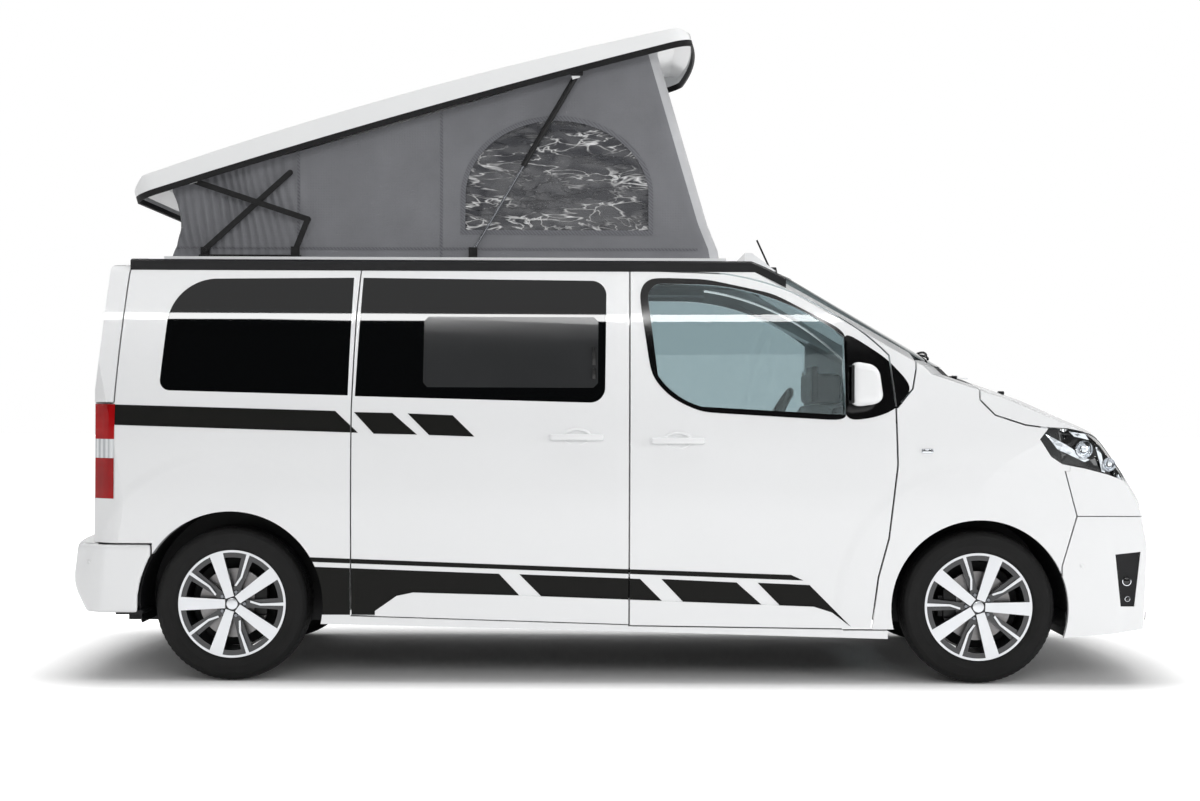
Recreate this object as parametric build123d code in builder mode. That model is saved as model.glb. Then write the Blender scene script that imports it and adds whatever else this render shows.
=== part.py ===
from build123d import *
import os
from math import atan2, degrees

# Camper van with a raised pop-up roof. Millimetres, +X forward, +Y left, +Z up, ground at z = 0.

# Overall
LENGTH = 4959.0
NOSE_X = LENGTH / 2
TAIL_X = -LENGTH / 2
REACH = 3200.0
SIDE_Y = 1300.0
TOP_Z = 2300.0
LOW_Z = -200.0

# Wheels
FRONT_AXLE_X = 1598.5
REAR_AXLE_X = -1676.5
FRONT_TRACK = 1630.0
REAR_TRACK = 1618.0
TYRE_R = 338.0
TYRE_W = 225.0
RIM_R = 236.0
BEAD_R = 216.0
BEAD_Y = 90.3
BARREL_R = 204.0
LIP_R = 226.0
RIM_FACE = 98.0
RIM_W = 200.0
SPOKES = 5
FRONT_SPIN = -2.0
REAR_SPIN = 36.0
DISC_R = 152.0
DISC_T = 26.0
HUB_R = 72.0
STUB_R = 30.0
STUB_OUT = 43.0
KINGPIN_IN = 30.0
FRONT_ARCH_R = 388.0
REAR_ARCH_R = 404.0
FRONT_ARCH_Z = 333.0
REAR_ARCH_Z = 343.0
LINER_T = 6.0

# Body walls
SKIN = 25.0
WALL = 60.0
PILLAR_OUT = 67.0
PILLAR_IN = 115.0
GLASS_OUT = 2.0
GLASS_IN = 7.0
SHUT = 7.0
SEAT = 0.3
RAIL_RISE = 32.0
CLAD_RISE = 13.0

# Roof and nose bows in plan
FRONT_BOW = 3000.0
REAR_BOW = 4000.0
FRONT_HUB_X = NOSE_X - FRONT_BOW
REAR_HUB_X = TAIL_X + REAR_BOW
HUB_COVER = 200.0
FRONT_CORNER = 420.0
REAR_CORNER = 200.0
BUMPER_TOP = 603.0

# Door line between the sliding door and the front door
B_PILLAR_X = 65.5
SILL_Z = 225.0
DOOR_LOW = 262.0
CANT_Z = 1818.0
ROOF_HALF = 690.0
CANT_IN = 640.0
DOOR_TOP_Y = 742.0

# Front door hinge
DOOR_HINGE_X = 1085.0
DOOR_HINGE_Y = 930.0
DOOR_HINGE_Z = (640.0, 1040.0)
HINGE_PIN_R = 7.0
PIN_CLEAR = 0.5
HINGE_PIN_L = 110.0
HINGE_ARM_T = 30.0
HINGE_ARM_W = 18.0
BULKHEAD_X = 1140.0
BULKHEAD_T = 40.0
BULKHEAD_HALF = 760.0
HINGE_POCKET = 50.0

# Tailgate hinge
TAIL_HINGE_X = -2150.0
TAIL_HINGE_Z = 1870.0
TAIL_HINGE_Y = 450.0
TAIL_HALF = 800.0
LAMP_TOP = 1213.0
LAMP_LOW = 800.0
LAMP_IN = 600.0
BEAM_X = 2240.0

# Bonnet hinge
BONNET_X = 1602.0
BONNET_HINGE_X = 1596.0
BONNET_HINGE_Z = 1352.0
BONNET_HINGE_Y = 300.0

# Pop-up roof: closed rim line and the centre it swings about
SHELL_REAR = -2073.0
SHELL_FRONT = 540.0
SHELL_Z = 1890.0
SHELL_HALF = 690.0
SHELL_T = 10.0
SEAL_H = 24.0
SHELL_H = 112.0
SHELL_RISE = 24.0
LIFT_X = -2944.0
LIFT_Z = 1667.0
LIFT_DEG = 16.03
TENT_HALF = 612.0
TENT_T = 4.0
TENT_REAR = -2010.0
TENT_FRONT = 480.0
FRAME_Z = 1879.0
FRAME_IN = 620.0
FRAME_OUT = 676.0

# Lift linkage, all as raised
ARM_Y = 652.0
ARM_W = 26.0
ARM_T = 7.0
ARM_STEP = 9.0
PIVOT_R = 9.0
BASE_ARM_FOOT = (-1855.0, 1912.0)
BASE_ARM_TIP = (-1470.0, 2262.0)
ROOF_ARM_FOOT = (-1906.0, 2222.0)
ROOF_ARM_TIP = (-1386.0, 2050.0)
LINK_FOOT = (-1441.0, 1912.0)
STRUT_FOOT = (-640.0, 1912.0)
STRUT_TOP = (-180.0, 2701.0)
STRUT_ROD_R = 6.0
STRUT_Y = 645.0
EYE_R = 5.0
STRUT_TUBE_R = 13.0
STRUT_TUBE_L = 470.0
STRUT_ROD_L = 605.0


def envelope(inset):
    """Outer body form of the van, moved in by the inset."""
    with BuildPart() as front_turn:
        spot = Plane(origin=(FRONT_HUB_X, 0, 0), x_dir=(-1, 0, 0), z_dir=(0, 1, 0))
        with BuildSketch(spot) as profile:
            with BuildLine():
                Polyline(
                    (0, LOW_Z), (0, 1893), (720 - FRONT_HUB_X, 1893), (1560 - FRONT_HUB_X, 1394),
                    (1596 - FRONT_HUB_X, 1358), (1910 - FRONT_HUB_X, 1246), (2245 - FRONT_HUB_X, 1096),
                    (2360 - FRONT_HUB_X, 930), (2446 - FRONT_HUB_X, 790), (FRONT_BOW, 610),
                    (FRONT_BOW - 12, 300), (FRONT_BOW - 40, LOW_Z), close=True,
                )
            make_face()
            corners = profile.vertices().sort_by(Axis.X)
            fillet([v for v in corners if abs(v.X - 720 + FRONT_HUB_X) < 1], 700)
            fillet([v for v in profile.vertices() if abs(v.X - 2245 + FRONT_HUB_X) < 1], 220)
            fillet([v for v in profile.vertices() if abs(v.X - 2446 + FRONT_HUB_X) < 1], 220)
            if inset:
                offset(amount=-inset)
        revolve(axis=Axis((FRONT_HUB_X, 0, 0), (0, 0, 1)))
        with Locations((-REACH, 0, LOW_Z)):
            Box(REACH + FRONT_HUB_X + HUB_COVER, 2 * REACH, TOP_Z - LOW_Z,
                align=(Align.MIN, Align.CENTER, Align.MIN))
    with BuildPart() as rear_turn:
        spot = Plane(origin=(REAR_HUB_X, 0, 0), x_dir=(1, 0, 0), z_dir=(0, -1, 0))
        with BuildSketch(spot) as profile:
            with BuildLine():
                Polyline(
                    (0, LOW_Z), (0, 1893), (REAR_HUB_X + 1500, 1893), (REAR_HUB_X + 2322, 1840),
                    (REAR_HUB_X + 2388, 1275), (REAR_HUB_X + 2388, BUMPER_TOP), (REAR_BOW - 22, BUMPER_TOP),
                    (REAR_BOW, 420), (REAR_BOW - 60, 300), (REAR_BOW - 60, LOW_Z), close=True,
                )
            make_face()
            fillet([v for v in profile.vertices() if abs(v.X - REAR_HUB_X - 2322) < 1], 40)
            fillet([v for v in profile.vertices() if abs(v.X - REAR_BOW) < 1], 160)
            if inset:
                offset(amount=-inset)
        revolve(axis=Axis((REAR_HUB_X, 0, 0), (0, 0, 1)))
        with Locations((REACH, 0, LOW_Z)):
            Box(REACH - REAR_HUB_X + HUB_COVER, 2 * REACH, TOP_Z - LOW_Z,
                align=(Align.MAX, Align.CENTER, Align.MIN))
    with BuildPart() as plan:
        tables = (
            (LOW_Z, BUMPER_TOP, (-2230, 962), (-2440, 830)),
            (BUMPER_TOP, TOP_Z, (-2190, 962), (-2335, 850)),
        )
        for low, high, corner, turn in tables:
            with BuildSketch(Plane.XY.offset(low)) as outline:
                with BuildLine():
                    right = Polyline(
                        (2533, 0), (2356, 930), (1500, 964), corner, turn, (-2520, 0),
                    )
                    mirror(right, about=Plane.XZ)
                make_face()
                edgy = [v for v in outline.vertices() if abs(v.Y) > 1]
                fillet([v for v in edgy if v.X < 0], REAR_CORNER)
                fillet([v for v in edgy if v.X > 2000], FRONT_CORNER)
                if inset:
                    offset(amount=-inset)
            extrude(amount=high - low)
    with BuildPart() as body:
        with BuildSketch(Plane.YZ) as section:
            with BuildLine():
                low = Polyline((0, LOW_Z), (935, LOW_Z), (958, 650))
                waist = ThreePointArc(low @ 1, (954, 1000), (926, 1270))
                glazing = ThreePointArc(waist @ 1, (874, 1520), (792, 1772))
                shoulder = ThreePointArc(glazing @ 1, (776, 1802), (745, 1829))
                crown = ThreePointArc(shoulder @ 1, (400, 1858), (0, 1868))
                mirror(low, about=Plane.YZ)
                mirror(waist, about=Plane.YZ)
                mirror(glazing, about=Plane.YZ)
                mirror(shoulder, about=Plane.YZ)
                mirror(crown, about=Plane.YZ)
            make_face()
            if inset:
                offset(amount=-inset)
        extrude(amount=REACH, both=True)
        add(front_turn.part, mode=Mode.INTERSECT)
        add(rear_turn.part, mode=Mode.INTERSECT)
        add(plan.part, mode=Mode.INTERSECT)
    return body.part


def shell_between(outside, inside):
    """Wall left between two body forms."""
    with BuildPart() as wall:
        add(outside)
        add(inside, mode=Mode.SUBTRACT)
    return wall.part


def slab(low, high):
    """Block from one corner to the opposite one."""
    with BuildPart() as block:
        with Locations(tuple((a + b) / 2 for a, b in zip(low, high))):
            Box(*(b - a for a, b in zip(low, high)))
    return block.part


def right_of(sketch):
    """Outline drawn in side view, pushed out over the right half of the van."""
    with BuildPart() as block:
        extrude(sketch, amount=SIDE_Y)
    return block.part


def across(sketch):
    """Outline drawn in side view, pushed out over both halves of the van."""
    with BuildPart() as block:
        extrude(sketch, amount=SIDE_Y, both=True)
    return block.part


def grown(outline, amount):
    """Side-view outline grown all round."""
    with BuildSketch(Plane.XZ) as bigger:
        offset(outline.sketch_local, amount=amount, kind=Kind.INTERSECTION)
    return bigger.sketch


def polygon(points):
    """Straight-sided outline in side view."""
    with BuildSketch(Plane.XZ) as flat:
        with BuildLine():
            Polyline(*points, close=True)
        make_face()
    return flat


def keep(name, part):
    """Name a finished piece and write it out."""
    part.label = name
    export_step(part, "parts/" + name + ".step")


os.makedirs("parts", exist_ok=True)

body_0 = envelope(0)
body_glass_out = envelope(GLASS_OUT)
body_glass_in = envelope(GLASS_IN)
body_skin = envelope(SKIN)
body_wall = envelope(WALL)
body_pillar_out = envelope(PILLAR_OUT)
body_pillar_in = envelope(PILLAR_IN)
body_rail = envelope(-RAIL_RISE)
body_clad = envelope(-CLAD_RISE)
body_liner = envelope(SKIN + SEAT)
body_wall_seat = envelope(WALL + SEAT)
body_pad = envelope(PILLAR_OUT - SEAT)
body_floor = envelope(PILLAR_IN + SEAT)
side_wall = shell_between(body_0, body_wall)
thin_wall = shell_between(body_0, body_skin)
glass_wall = shell_between(body_glass_out, body_glass_in)
lamp_wall = shell_between(body_glass_out, body_wall)

# Outlines in side view
with BuildSketch(Plane.XZ) as front_door_line:
    with BuildLine():
        lower = Polyline(
            (B_PILLAR_X + SHUT / 2, 1816), (B_PILLAR_X + SHUT / 2, DOOR_LOW - 4), (1121, 246), (1150, 470),
            (1195, 640), (1233, 960), (1227, 1210), (1200, 1440),
        )
        pillar = ThreePointArc(lower @ 1, (914, 1656), (483, 1800))
        Line(pillar @ 1, lower @ 0)
    make_face()
with BuildSketch(Plane.XZ) as slide_door_line:
    with BuildLine():
        Polyline(
            (B_PILLAR_X - SHUT / 2, 1816), (-1126, 1823), (-1139, 1600), (-1150, 1200), (-1147, 296),
            (B_PILLAR_X - SHUT / 2, DOOR_LOW), close=True,
        )
    make_face()
with BuildSketch(Plane.XZ) as front_glass_line:
    with BuildLine():
        top = Polyline((189, 1349), (138, 1758), (405, 1752))
        slope = ThreePointArc(top @ 1, (702, 1690), (1007, 1522))
        base = Polyline(slope @ 1, (1010, 1178), (381, 1212))
        ThreePointArc(base @ 1, (268, 1266), top @ 0)
    make_face()
    fillet(front_glass_line.vertices().sort_by(Axis.X)[0], 62)
with BuildSketch(Plane.XZ) as slide_glass_line:
    with BuildLine():
        Polyline(
            (-1118, 1778), (-38, 1768), (-43, 1226), (-1138, 1252), close=True,
        )
    make_face()
    fillet(slide_glass_line.vertices().sort_by(Axis.X)[-2:], 66)
with BuildSketch(Plane.XZ) as quarter_glass_line:
    with BuildLine():
        Polyline(
            (-1160, 1778), (-1962, 1770), (-1998, 1275), (-1170, 1255), close=True,
        )
    make_face()
    fillet(quarter_glass_line.vertices().sort_by(Axis.X)[0], 45)
    fillet([v for v in quarter_glass_line.vertices() if abs(v.X + 1962) < 1], 210)
lamp_line = polygon((
    (1858, 1075), (1898, 1126), (1980, 1118), (2124, 1088), (2191, 1051), (2231, 1008), (2257, 922),
    (2253, 886), (2160, 921), (2055, 948), (1956, 967), (1907, 999),
))
bonnet_line = polygon((
    (BONNET_X, 1500), (BONNET_X, 1248), (1666, 1183), (1796, 1141), (1880, 1130), (1980, 1124), (2124, 1094),
    (2195, 1056), (2240, 1040), (2420, 985), (2600, 985), (2600, 1500),
))
fog_line = polygon(((2192, 572), (2303, 584), (2276, 345), (2216, 345)))

front_arch = Plane.XZ.offset(-SIDE_Y)
with BuildPart() as arches:
    for x, z, radius in (
        (FRONT_AXLE_X, FRONT_ARCH_Z, FRONT_ARCH_R),
        (REAR_AXLE_X, REAR_ARCH_Z, REAR_ARCH_R),
    ):
        with BuildSketch(front_arch):
            with Locations((x, z)):
                Circle(radius)
        extrude(amount=2 * SIDE_Y)
roof_cut_rear = slab((-REACH, -ROOF_HALF, 1785), (470, ROOF_HALF, TOP_Z))
roof_cut_front = slab((470, -ROOF_HALF, 1812), (1300, ROOF_HALF, TOP_Z))
with BuildSketch(Plane.YZ) as screen_line:
    with BuildLine():
        Polyline((-738, 1396), (738, 1396), (655, 1812), (-655, 1812), close=True)
    make_face()
with BuildPart() as screen_cut:
    extrude(screen_line.sketch, amount=REACH)
    add(slab((-REACH, -SIDE_Y, 0), (470, SIDE_Y, TOP_Z)), mode=Mode.SUBTRACT)
scuttle_cut = slab((1250, -733, 1180), (BONNET_X - SHUT, 733, 1396))

# Body sides with quarter panel, cant rail, screen pillar, centre pillar and sill
side_line = polygon((
    (-2157 + SHUT, 1900), (-2195 + SHUT, 1220), (-2195, 1214), (-2700, 1214), (-2700, BUMPER_TOP + 4),
    (-2018, BUMPER_TOP + 4), (-2018, 250), (-1276, 256), (110, 228), (1196, 200), (1196, 236), (1000, 236),
    (1000, 1205), (1235, 1217), (1302, 1295), (1318, 1380), (1318, 1900),
))
with BuildPart() as door_gap:
    add(right_of(grown(front_door_line, SHUT)))
    add(right_of(grown(slide_door_line, SHUT - 1)))
    add(slab((-REACH, -DOOR_TOP_Y + SHUT, 1700), (470, SIDE_Y, TOP_Z)), mode=Mode.SUBTRACT)
with BuildPart() as pillar:
    add(shell_between(body_pillar_out, body_pillar_in))
    add(slab((10, -SIDE_Y, 230), (125, -CANT_IN, 1800)), mode=Mode.INTERSECT)
    add(slab((10, -900, 230), (125, -845, 250)))
    add(slab((10, -DOOR_TOP_Y + SHUT, 1740), (125, -CANT_IN, 1800)))
with BuildPart() as side_right:
    add(side_wall)
    add(right_of(side_line.sketch), mode=Mode.INTERSECT)
    add(roof_cut_rear, mode=Mode.SUBTRACT)
    add(roof_cut_front, mode=Mode.SUBTRACT)
    add(slab((-REACH, -CANT_IN, 0), (470, 0, TOP_Z)), mode=Mode.SUBTRACT)
    add(screen_cut.part, mode=Mode.SUBTRACT)
    add(door_gap.part, mode=Mode.SUBTRACT)
    add(right_of(grown(quarter_glass_line, SEAT)), mode=Mode.SUBTRACT)
    add(arches.part, mode=Mode.SUBTRACT)
    add(slab((-REACH, -TAIL_HALF - SHUT, 0), (-2195, 0, 1216)), mode=Mode.SUBTRACT)
    add(slab((-REACH, -SIDE_Y, LAMP_LOW - SEAT), (-2212, 0, LAMP_TOP + 5)), mode=Mode.SUBTRACT)
    add(pillar.part)
with BuildPart() as body_sides:
    add(side_right.part)
    mirror(about=Plane.XZ)
keep("body_sides", body_sides.part)

# Raised cladding along the foot of the doors
clad_line = polygon((
    (-1043, 240), (-1043, 315), (-949, 381), (-877, 396), (-414, 385), (871, 341), (951, 316), (1031, 262),
    (1031, 240),
))
with BuildPart() as cladding:
    add(shell_between(body_clad, body_skin))
    add(right_of(clad_line.sketch), mode=Mode.INTERSECT)

# Sliding doors, resting on the centre pillar
with BuildPart() as door_pad:
    add(shell_between(body_wall, body_pad))
    add(slab((16, -SIDE_Y, 700), (56, 0, 900)), mode=Mode.INTERSECT)
with BuildPart() as sliding_doors:
    add(side_wall)
    add(right_of(slide_door_line.sketch), mode=Mode.INTERSECT)
    add(slab((-REACH, -DOOR_TOP_Y, 0), (REACH, SIDE_Y, TOP_Z)), mode=Mode.SUBTRACT)
    add(right_of(grown(slide_glass_line, SEAT)), mode=Mode.SUBTRACT)
    add(door_pad.part)
    add(cladding.part.intersect(right_of(slide_door_line.sketch)))
    mirror(about=Plane.XZ)
keep("sliding_doors", sliding_doors.part)
with BuildPart() as side_windows:
    for line in (slide_glass_line, quarter_glass_line):
        add(glass_wall.intersect(right_of(line.sketch)))
    mirror(about=Plane.XZ)
keep("side_windows", side_windows.part)

# Front doors, with hinge pockets, windows and mirrors
with BuildPart() as front_door_right:
    add(side_wall)
    add(right_of(front_door_line.sketch), mode=Mode.INTERSECT)
    add(slab((-REACH, -DOOR_TOP_Y, 0), (REACH, SIDE_Y, TOP_Z)), mode=Mode.SUBTRACT)
    add(right_of(grown(front_glass_line, SEAT)), mode=Mode.SUBTRACT)
    add(cladding.part.intersect(right_of(front_door_line.sketch)))
    for z in DOOR_HINGE_Z:
        add(
            slab(
                (DOOR_HINGE_X - HINGE_POCKET / 2, -DOOR_HINGE_Y - HINGE_PIN_R - 4, z - HINGE_POCKET / 2),
                (REACH, 0, z + HINGE_POCKET / 2),
            ),
            mode=Mode.SUBTRACT,
        )
        with Locations((DOOR_HINGE_X, -DOOR_HINGE_Y, z)):
            Cylinder(HINGE_PIN_R + PIN_CLEAR, HINGE_PIN_L + 4, mode=Mode.SUBTRACT)
keep("front_door_right", front_door_right.part)
with BuildPart() as front_door_left:
    add(front_door_right.part.mirror(Plane.XZ))
keep("front_door_left", front_door_left.part)
with BuildPart() as front_glass_right:
    add(glass_wall.intersect(right_of(front_glass_line.sketch)))
keep("front_door_glass_right", front_glass_right.part)
with BuildPart() as front_glass_left:
    add(front_glass_right.part.mirror(Plane.XZ))
keep("front_door_glass_left", front_glass_left.part)
with BuildPart() as mirror_right:
    with BuildSketch(Plane.XZ.offset(975)):
        with Locations((1088, 1312)):
            RectangleRounded(140, 198, 45)
    extrude(amount=125)
    fillet(mirror_right.edges().filter_by(GeomType.CIRCLE), 18)
    with BuildSketch(Plane.XZ.offset(930)):
        with Locations((1090, 1255)):
            RectangleRounded(80, 46, 15)
    extrude(amount=60)
    add(body_0, mode=Mode.SUBTRACT)
keep("mirror_right", mirror_right.part)
with BuildPart() as mirror_left:
    add(mirror_right.part.mirror(Plane.XZ))
keep("mirror_left", mirror_left.part)

# Roof panel with its opening and the raised frame round the tent
roof_hole = slab((-1960, -560, 1700), (430, 560, TOP_Z))
with BuildPart() as roof_zone:
    add(slab((TAIL_HINGE_X + 4, -ROOF_HALF + SEAT, 1785 + SEAT), (470, ROOF_HALF - SEAT, TOP_Z)))
    add(slab((470, -ROOF_HALF + SEAT, 1812 + SEAT), (1300, ROOF_HALF - SEAT, TOP_Z)))
with BuildPart() as frame:
    add(slab((TENT_REAR - 20, -FRAME_OUT, 1820), (TENT_FRONT + 20, FRAME_OUT, FRAME_Z)))
    add(roof_hole, mode=Mode.SUBTRACT)
    add(body_skin, mode=Mode.SUBTRACT)
with BuildPart() as roof_panel:
    add(thin_wall)
    add(roof_zone.part, mode=Mode.INTERSECT)
    add(roof_hole, mode=Mode.SUBTRACT)
    add(frame.part)
    for y in (-TAIL_HINGE_Y, TAIL_HINGE_Y):
        add(slab((TAIL_HINGE_X - 5, y - 20, 1838), (TAIL_HINGE_X + 60, y + 20, TAIL_HINGE_Z + 7)))
        with Locations(Plane.XZ * Location((TAIL_HINGE_X, TAIL_HINGE_Z, -y))):
            Cylinder(HINGE_PIN_R - 2, 2 * HINGE_PIN_L)
keep("roof_panel", roof_panel.part)
with BuildPart() as roof_rails:
    add(shell_between(body_rail, body_0))
    add(slab((-2160, -768, 1700), (762, -722, TOP_Z)), mode=Mode.INTERSECT)
    mirror(about=Plane.XZ)
keep("roof_rails", roof_rails.part)
with BuildPart() as deflector:
    with BuildSketch(Plane.XZ):
        with BuildLine():
            Polyline((592, 1830), (592, 1912), (625, 1912), (735, 1830), close=True)
        make_face()
    extrude(amount=560, both=True)
    add(body_0, mode=Mode.SUBTRACT)
keep("roof_deflector", deflector.part)
with BuildPart() as antenna:
    with BuildSketch(Plane.XY.offset(1840)):
        with Locations((760, 0)):
            Ellipse(34, 20)
    extrude(amount=44, taper=12)
    with BuildSketch(Plane(origin=(757, 0, 1870), z_dir=(-66, 0, 143))):
        Circle(4.5)
    extrude(amount=160)
    add(body_0, mode=Mode.SUBTRACT)
keep("antenna", antenna.part)

# Tailgate and its window
tail_line = polygon((
    (-2157, 1900), (-2195, 1216), (-2150, 1216), (-2150, BUMPER_TOP + 8), (-2700, BUMPER_TOP + 8), (-2700, 1900),
))
with BuildSketch(Plane.YZ) as tail_glass_line:
    with Locations((0, 1500)):
        RectangleRounded(1270, 470, 60)
with BuildPart() as tail_glass_block:
    extrude(tail_glass_line.sketch, amount=-REACH)
with BuildSketch(Plane.YZ) as tail_hole_line:
    offset(tail_glass_line.sketch_local, amount=SEAT)
with BuildPart() as tail_hole_block:
    extrude(tail_hole_line.sketch, amount=-REACH)
with BuildPart() as tailgate:
    add(side_wall)
    add(across(tail_line.sketch), mode=Mode.INTERSECT)
    for side in (-1, 1):
        add(slab((-REACH, min(side * TAIL_HALF, side * SIDE_Y), 0),
                 (REACH, max(side * TAIL_HALF, side * SIDE_Y), 1222)), mode=Mode.SUBTRACT)
    add(tail_hole_block.part, mode=Mode.SUBTRACT)
    for y in (-TAIL_HINGE_Y, TAIL_HINGE_Y):
        for step in (-48, 48):
            low = (TAIL_HINGE_X - 60, y + step - 18, 1815)
            high = (TAIL_HINGE_X + 10, y + step + 18, TAIL_HINGE_Z + 10)
            add(slab(low, high))
            add(slab((TAIL_HINGE_X - 5, low[1], 1800), (high[0], high[1], TAIL_HINGE_Z - 12)), mode=Mode.SUBTRACT)
            with Locations(Plane.XZ * Location((TAIL_HINGE_X, TAIL_HINGE_Z, -y - step))):
                Cylinder(HINGE_PIN_R - 2 + PIN_CLEAR, HINGE_POCKET, mode=Mode.SUBTRACT)
keep("tailgate", tailgate.part)
with BuildPart() as tailgate_glass:
    add(glass_wall.intersect(tail_glass_block.part))
keep("tailgate_glass", tailgate_glass.part)
with BuildPart() as tail_lamps:
    add(lamp_wall)
    add(slab((-REACH, -SIDE_Y, LAMP_LOW), (-2212 - SEAT, -TAIL_HALF - SHUT, LAMP_TOP)), mode=Mode.INTERSECT)
    mirror(about=Plane.XZ)
keep("tail_lamps", tail_lamps.part)
with BuildPart() as rear_bumper:
    add(thin_wall)
    add(slab((-REACH, -SIDE_Y, 300), (-2023, SIDE_Y, BUMPER_TOP - 1)), mode=Mode.INTERSECT)
    add(arches.part, mode=Mode.SUBTRACT)
    add(slab((-2290 - 130, -500, 440), (-2290 - SEAT, 500, 500)))
keep("rear_bumper", rear_bumper.part)

# Nose: wings, bonnet, nose panel, bumper, grilles and lamps
wing_line = polygon((
    (1000, 1199), (1241, 1209), (1309, 1291), (1325, 1378), (1325, 1420), (1620, 1420), (1620, 1300), (1990, 1160),
    (1990, 937), (1966, 937), (2019, 740), (1954, 520), (1954, 250), (1000, 240),
))
nose_line = polygon(((1972, 937), (2025, 741), (2700, 741), (2700, 1120), (1990, 1120)))
bumper_line = polygon((
    (2025, 737), (1960, 520), (1960, 207), (2185, 225), (2332, 249), (2700, 300), (2700, 737),
))
with BuildPart() as wing_right:
    add(thin_wall)
    add(right_of(wing_line.sketch), mode=Mode.INTERSECT)
    add(right_of(grown(front_door_line, SHUT + 1)), mode=Mode.SUBTRACT)
    add(right_of(grown(bonnet_line, SHUT)), mode=Mode.SUBTRACT)
    add(right_of(grown(lamp_line, SEAT)), mode=Mode.SUBTRACT)
    add(scuttle_cut, mode=Mode.SUBTRACT)
    add(screen_cut.part, mode=Mode.SUBTRACT)
    add(arches.part, mode=Mode.SUBTRACT)
    add(slab((1000, -735, 0), (2600, 0, TOP_Z)), mode=Mode.SUBTRACT)
    add(slab((1976, -905, 700), (1996, -470 - SEAT, 735)))
with BuildPart() as front_wings:
    add(wing_right.part)
    mirror(about=Plane.XZ)
keep("front_wings", front_wings.part)
with BuildPart() as bonnet:
    add(thin_wall)
    add(across(bonnet_line.sketch), mode=Mode.INTERSECT)
    for y in (-BONNET_HINGE_Y, BONNET_HINGE_Y):
        add(slab((BONNET_HINGE_X - 9, y - 15, BONNET_HINGE_Z - 9), (BONNET_HINGE_X + 60, y + 15, BONNET_HINGE_Z + 9)))
        add(slab((BONNET_HINGE_X + 14, y - 20, BONNET_HINGE_Z - 2), (BONNET_HINGE_X + 90, y + 20, 1500)), mode=Mode.SUBTRACT)
        with Locations(Plane.XZ * Location((BONNET_HINGE_X, BONNET_HINGE_Z, -y))):
            Cylinder(HINGE_PIN_R - 3 + PIN_CLEAR, 2 * HINGE_POCKET, mode=Mode.SUBTRACT)
keep("bonnet", bonnet.part)
with BuildPart() as headlamps:
    add(lamp_wall)
    add(right_of(lamp_line.sketch), mode=Mode.INTERSECT)
    add(slab((1500, -LAMP_IN, 0), (REACH, SIDE_Y, TOP_Z)), mode=Mode.SUBTRACT)
    mirror(about=Plane.XZ)
keep("headlamps", headlamps.part)
grille_slots = (
    (560, 545, 600), (560, 330, 530), (480, 850, 915),
)
with BuildPart() as grille_zone:
    for half, low, high in grille_slots:
        add(slab((2200, -half, low), (REACH, half, high)))
    add(across(fog_line.sketch))
with BuildPart() as grille_hole:
    for half, low, high in grille_slots:
        add(slab((2200, -half - SEAT, low - SEAT), (REACH, half + SEAT, high + SEAT)))
    add(across(grown(fog_line, SEAT)))
with BuildPart() as nose_panel:
    add(thin_wall)
    add(across(nose_line.sketch), mode=Mode.INTERSECT)
    add(across(grown(bonnet_line, SHUT)), mode=Mode.SUBTRACT)
    add(across(grown(lamp_line, SEAT)), mode=Mode.SUBTRACT)
    add(across(grown(wing_line, 1)), mode=Mode.SUBTRACT)
    add(grille_hole.part, mode=Mode.SUBTRACT)
    add(slab((BEAM_X + SEAT, -300, 750), (2425, 300, 790)))
keep("nose_panel", nose_panel.part)
with BuildPart() as front_bumper:
    add(thin_wall)
    add(across(bumper_line.sketch), mode=Mode.INTERSECT)
    add(arches.part, mode=Mode.SUBTRACT)
    add(grille_hole.part, mode=Mode.SUBTRACT)
    add(slab((BEAM_X + SEAT, -300, 645), (2452, 300, 695)))
keep("front_bumper", front_bumper.part)
with BuildPart() as front_grilles:
    add(shell_between(body_glass_in, body_skin))
    add(grille_zone.part, mode=Mode.INTERSECT)
keep("front_grilles", front_grilles.part)

# Windscreen and scuttle
with BuildSketch(Plane.YZ) as screen_glass_line:
    offset(screen_line.sketch_local, amount=-SEAT)
with BuildPart() as screen_block:
    extrude(screen_glass_line.sketch, amount=REACH)
    add(slab((-REACH, -SIDE_Y, 0), (470 + SEAT, SIDE_Y, TOP_Z)), mode=Mode.SUBTRACT)
with BuildPart() as windscreen:
    add(glass_wall.intersect(screen_block.part))
keep("windscreen", windscreen.part)
with BuildPart() as scuttle:
    add(shell_between(body_glass_in, body_skin))
    add(slab((1290, -733 + SEAT, 1190), (BONNET_X - SHUT - 1, 733 - SEAT, 1396 - SEAT)), mode=Mode.INTERSECT)
    for y in (-BONNET_HINGE_Y, BONNET_HINGE_Y):
        add(slab((BONNET_HINGE_X - 40, y - 24, BONNET_HINGE_Z - 40), (BONNET_X + 40, y + 24, 1400)), mode=Mode.SUBTRACT)
        with Locations(Plane.XZ * Location((BONNET_HINGE_X, BONNET_HINGE_Z, -y))):
            Cylinder(HINGE_PIN_R - 3, 90)
        for step in (-36, 36):
            add(slab((BONNET_HINGE_X - 20, y + step - 8, BONNET_HINGE_Z - 14), (BONNET_HINGE_X + 4, y + step + 8, BONNET_HINGE_Z + 6)))
keep("scuttle_panel", scuttle.part)
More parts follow.
